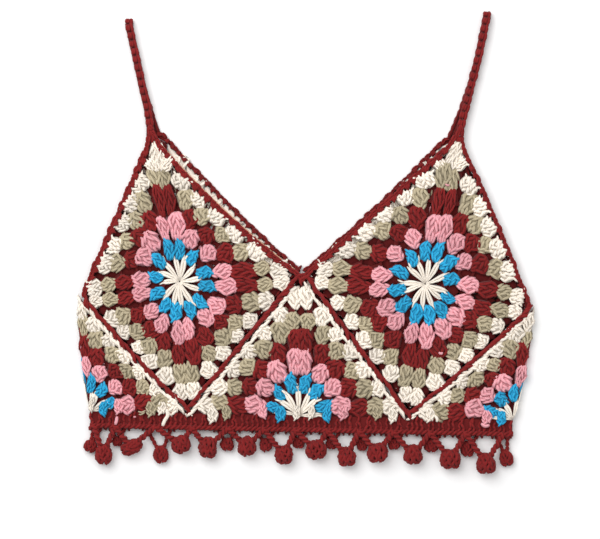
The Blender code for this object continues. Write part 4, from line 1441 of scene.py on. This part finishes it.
shapes["braid"] = stitch_shape("braid", paint_braid)
tips = {cup["name"]: cup["corners"][TOP][1] for cup in cups}
low = STRAP_THICKNESS / 2.0
high = low + STRAP_THICKNESS + STRAP_LEG_GAP
for strap in rows(STRAP_COLUMNS, STRAP_ROWS):
    worked = []
    top_x, top_y = strap["top"]
    middle = Vector((top_x, top_y - STRAP_THICKNESS - STRAP_LEG_GAP / 2.0, (high + low) / 2.0))
    for layer, height, face in (("front", high, 1.0), ("back", low, -1.0)):
        foot_y = tips["cup_%s_%s" % (layer, strap["side"])] - TIP_CUT - STRAP_OVERLAP
        route = ((strap["foot_x"][layer], foot_y), *strap[layer], *strap["both"], middle)
        places = [at(place, height) for place in route]
        spots = run(places, BRAID_PITCH, (1.0, 0.94, 0.95), UP * face)
        worked.append(work(spots, "braid", "red", 9, turn_spread=0.08))
        # Two rails under the braids, darkened with painted shade in the notches between them.
        core = bmesh.new()
        for side in (-1.0, 1.0):
            shift = Vector((side * RAIL_APART, 0.0, -RAIL_INWARD * face))
            rail = [metres(place + shift) for place in walk(places, RAIL_STEP)]
            tube(core, rail, RAIL_RADIUS * MM, 6)
        worked.append(wound("core", core, "red", under=True))
    turn = []
    for step in range(FOLD_STEPS + 1):
        angle = math.pi * step / FOLD_STEPS
        bend = Vector((0.0, math.sin(angle), math.cos(angle))) * (high - low) / 2.0
        turn.append(middle + bend)
    for start, end in zip(turn, turn[1:]):
        fold = spot(start, end, (1.0, 0.6, 0.6), (start + end) / 2.0 - middle)
        worked.append(work([fold], "braid", "red", 2))
    cap = bmesh.new()
    tube(cap, [metres(middle + Vector((side, reach, 0.0))) for side, reach, _ in FOLD_CAP],
         [radius * MM for _, _, radius in FOLD_CAP], 6)
    worked.append(wound("cap", cap, "red"))
    cord = join("strap_" + strap["side"] + "_stitches", worked)
    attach(cord, "root")
    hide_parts("strap_" + strap["side"])


# --------------------------------------------------------- table and daylight
# The top lies on a plain pale table in soft daylight and is seen from straight
# above, the way a shop lays its stock out.

TABLE_HALF, TABLE_DROP = 3.0, 0.0005
TABLE_WHITE = (0.92, 0.92, 0.92, 1.0)
DAYLIGHT = 0.45

table_mesh = bpy.data.meshes.new("table")
table_mesh.from_pydata([(x * TABLE_HALF, y * TABLE_HALF, 0.0)
                        for x, y in ((-1, -1), (1, -1), (1, 1), (-1, 1))], [], [(0, 1, 2, 3)])
table = new_piece("table", table_mesh)
paint = bpy.data.materials.new("table_paint")
paint.use_nodes = True
paint_board = Board(paint.node_tree)
paint_shader = paint_board.add("ShaderNodeBsdfPrincipled", {}, Base_Color=TABLE_WHITE,
                               Roughness=0.9)
paint_board.add("ShaderNodeOutputMaterial", {}, Surface=paint_shader)
table_mesh.materials.append(paint)
table.location.z = -TABLE_DROP

sky = bpy.data.worlds.new("daylight")
sky.use_nodes = True
background = sky.node_tree.nodes["Background"]
background.inputs["Color"].default_value = (1.0, 1.0, 1.0, 1.0)
background.inputs["Strength"].default_value = DAYLIGHT
bpy.context.scene.world = sky

LAMP_COLUMNS = ("name", "place", "size", "power")
LAMP_ROWS = (
    ("window", (-0.7, 0.8, 1.5), 1.7, 34.0),
    ("fill", (0.9, 0.2, 1.5), 1.6, 8.0),
)
for lamp in rows(LAMP_COLUMNS, LAMP_ROWS):
    light = bpy.data.lights.new(lamp["name"], "AREA")
    light.size = lamp["size"]
    light.energy = lamp["power"]
    holder = new_piece(lamp["name"], light)
    holder.location = lamp["place"]
    holder.rotation_euler = (-Vector(lamp["place"])).to_track_quat("-Z", "Y").to_euler()

CAMERA_HEIGHT, TOP_HEIGHT = 2.4, 0.006
VIEW_WIDTH, SENSOR_WIDTH = 0.5022, 36.0
VIEW_CENTRE = (-0.00522, -0.02185)
camera = bpy.data.cameras.new("camera")
camera.sensor_width = SENSOR_WIDTH
camera.lens = SENSOR_WIDTH * CAMERA_HEIGHT / VIEW_WIDTH
stand = new_piece("camera", camera)
stand.location = (*VIEW_CENTRE, CAMERA_HEIGHT + TOP_HEIGHT)
bpy.context.scene.camera = stand
bpy.context.scene.view_settings.view_transform = "Standard"
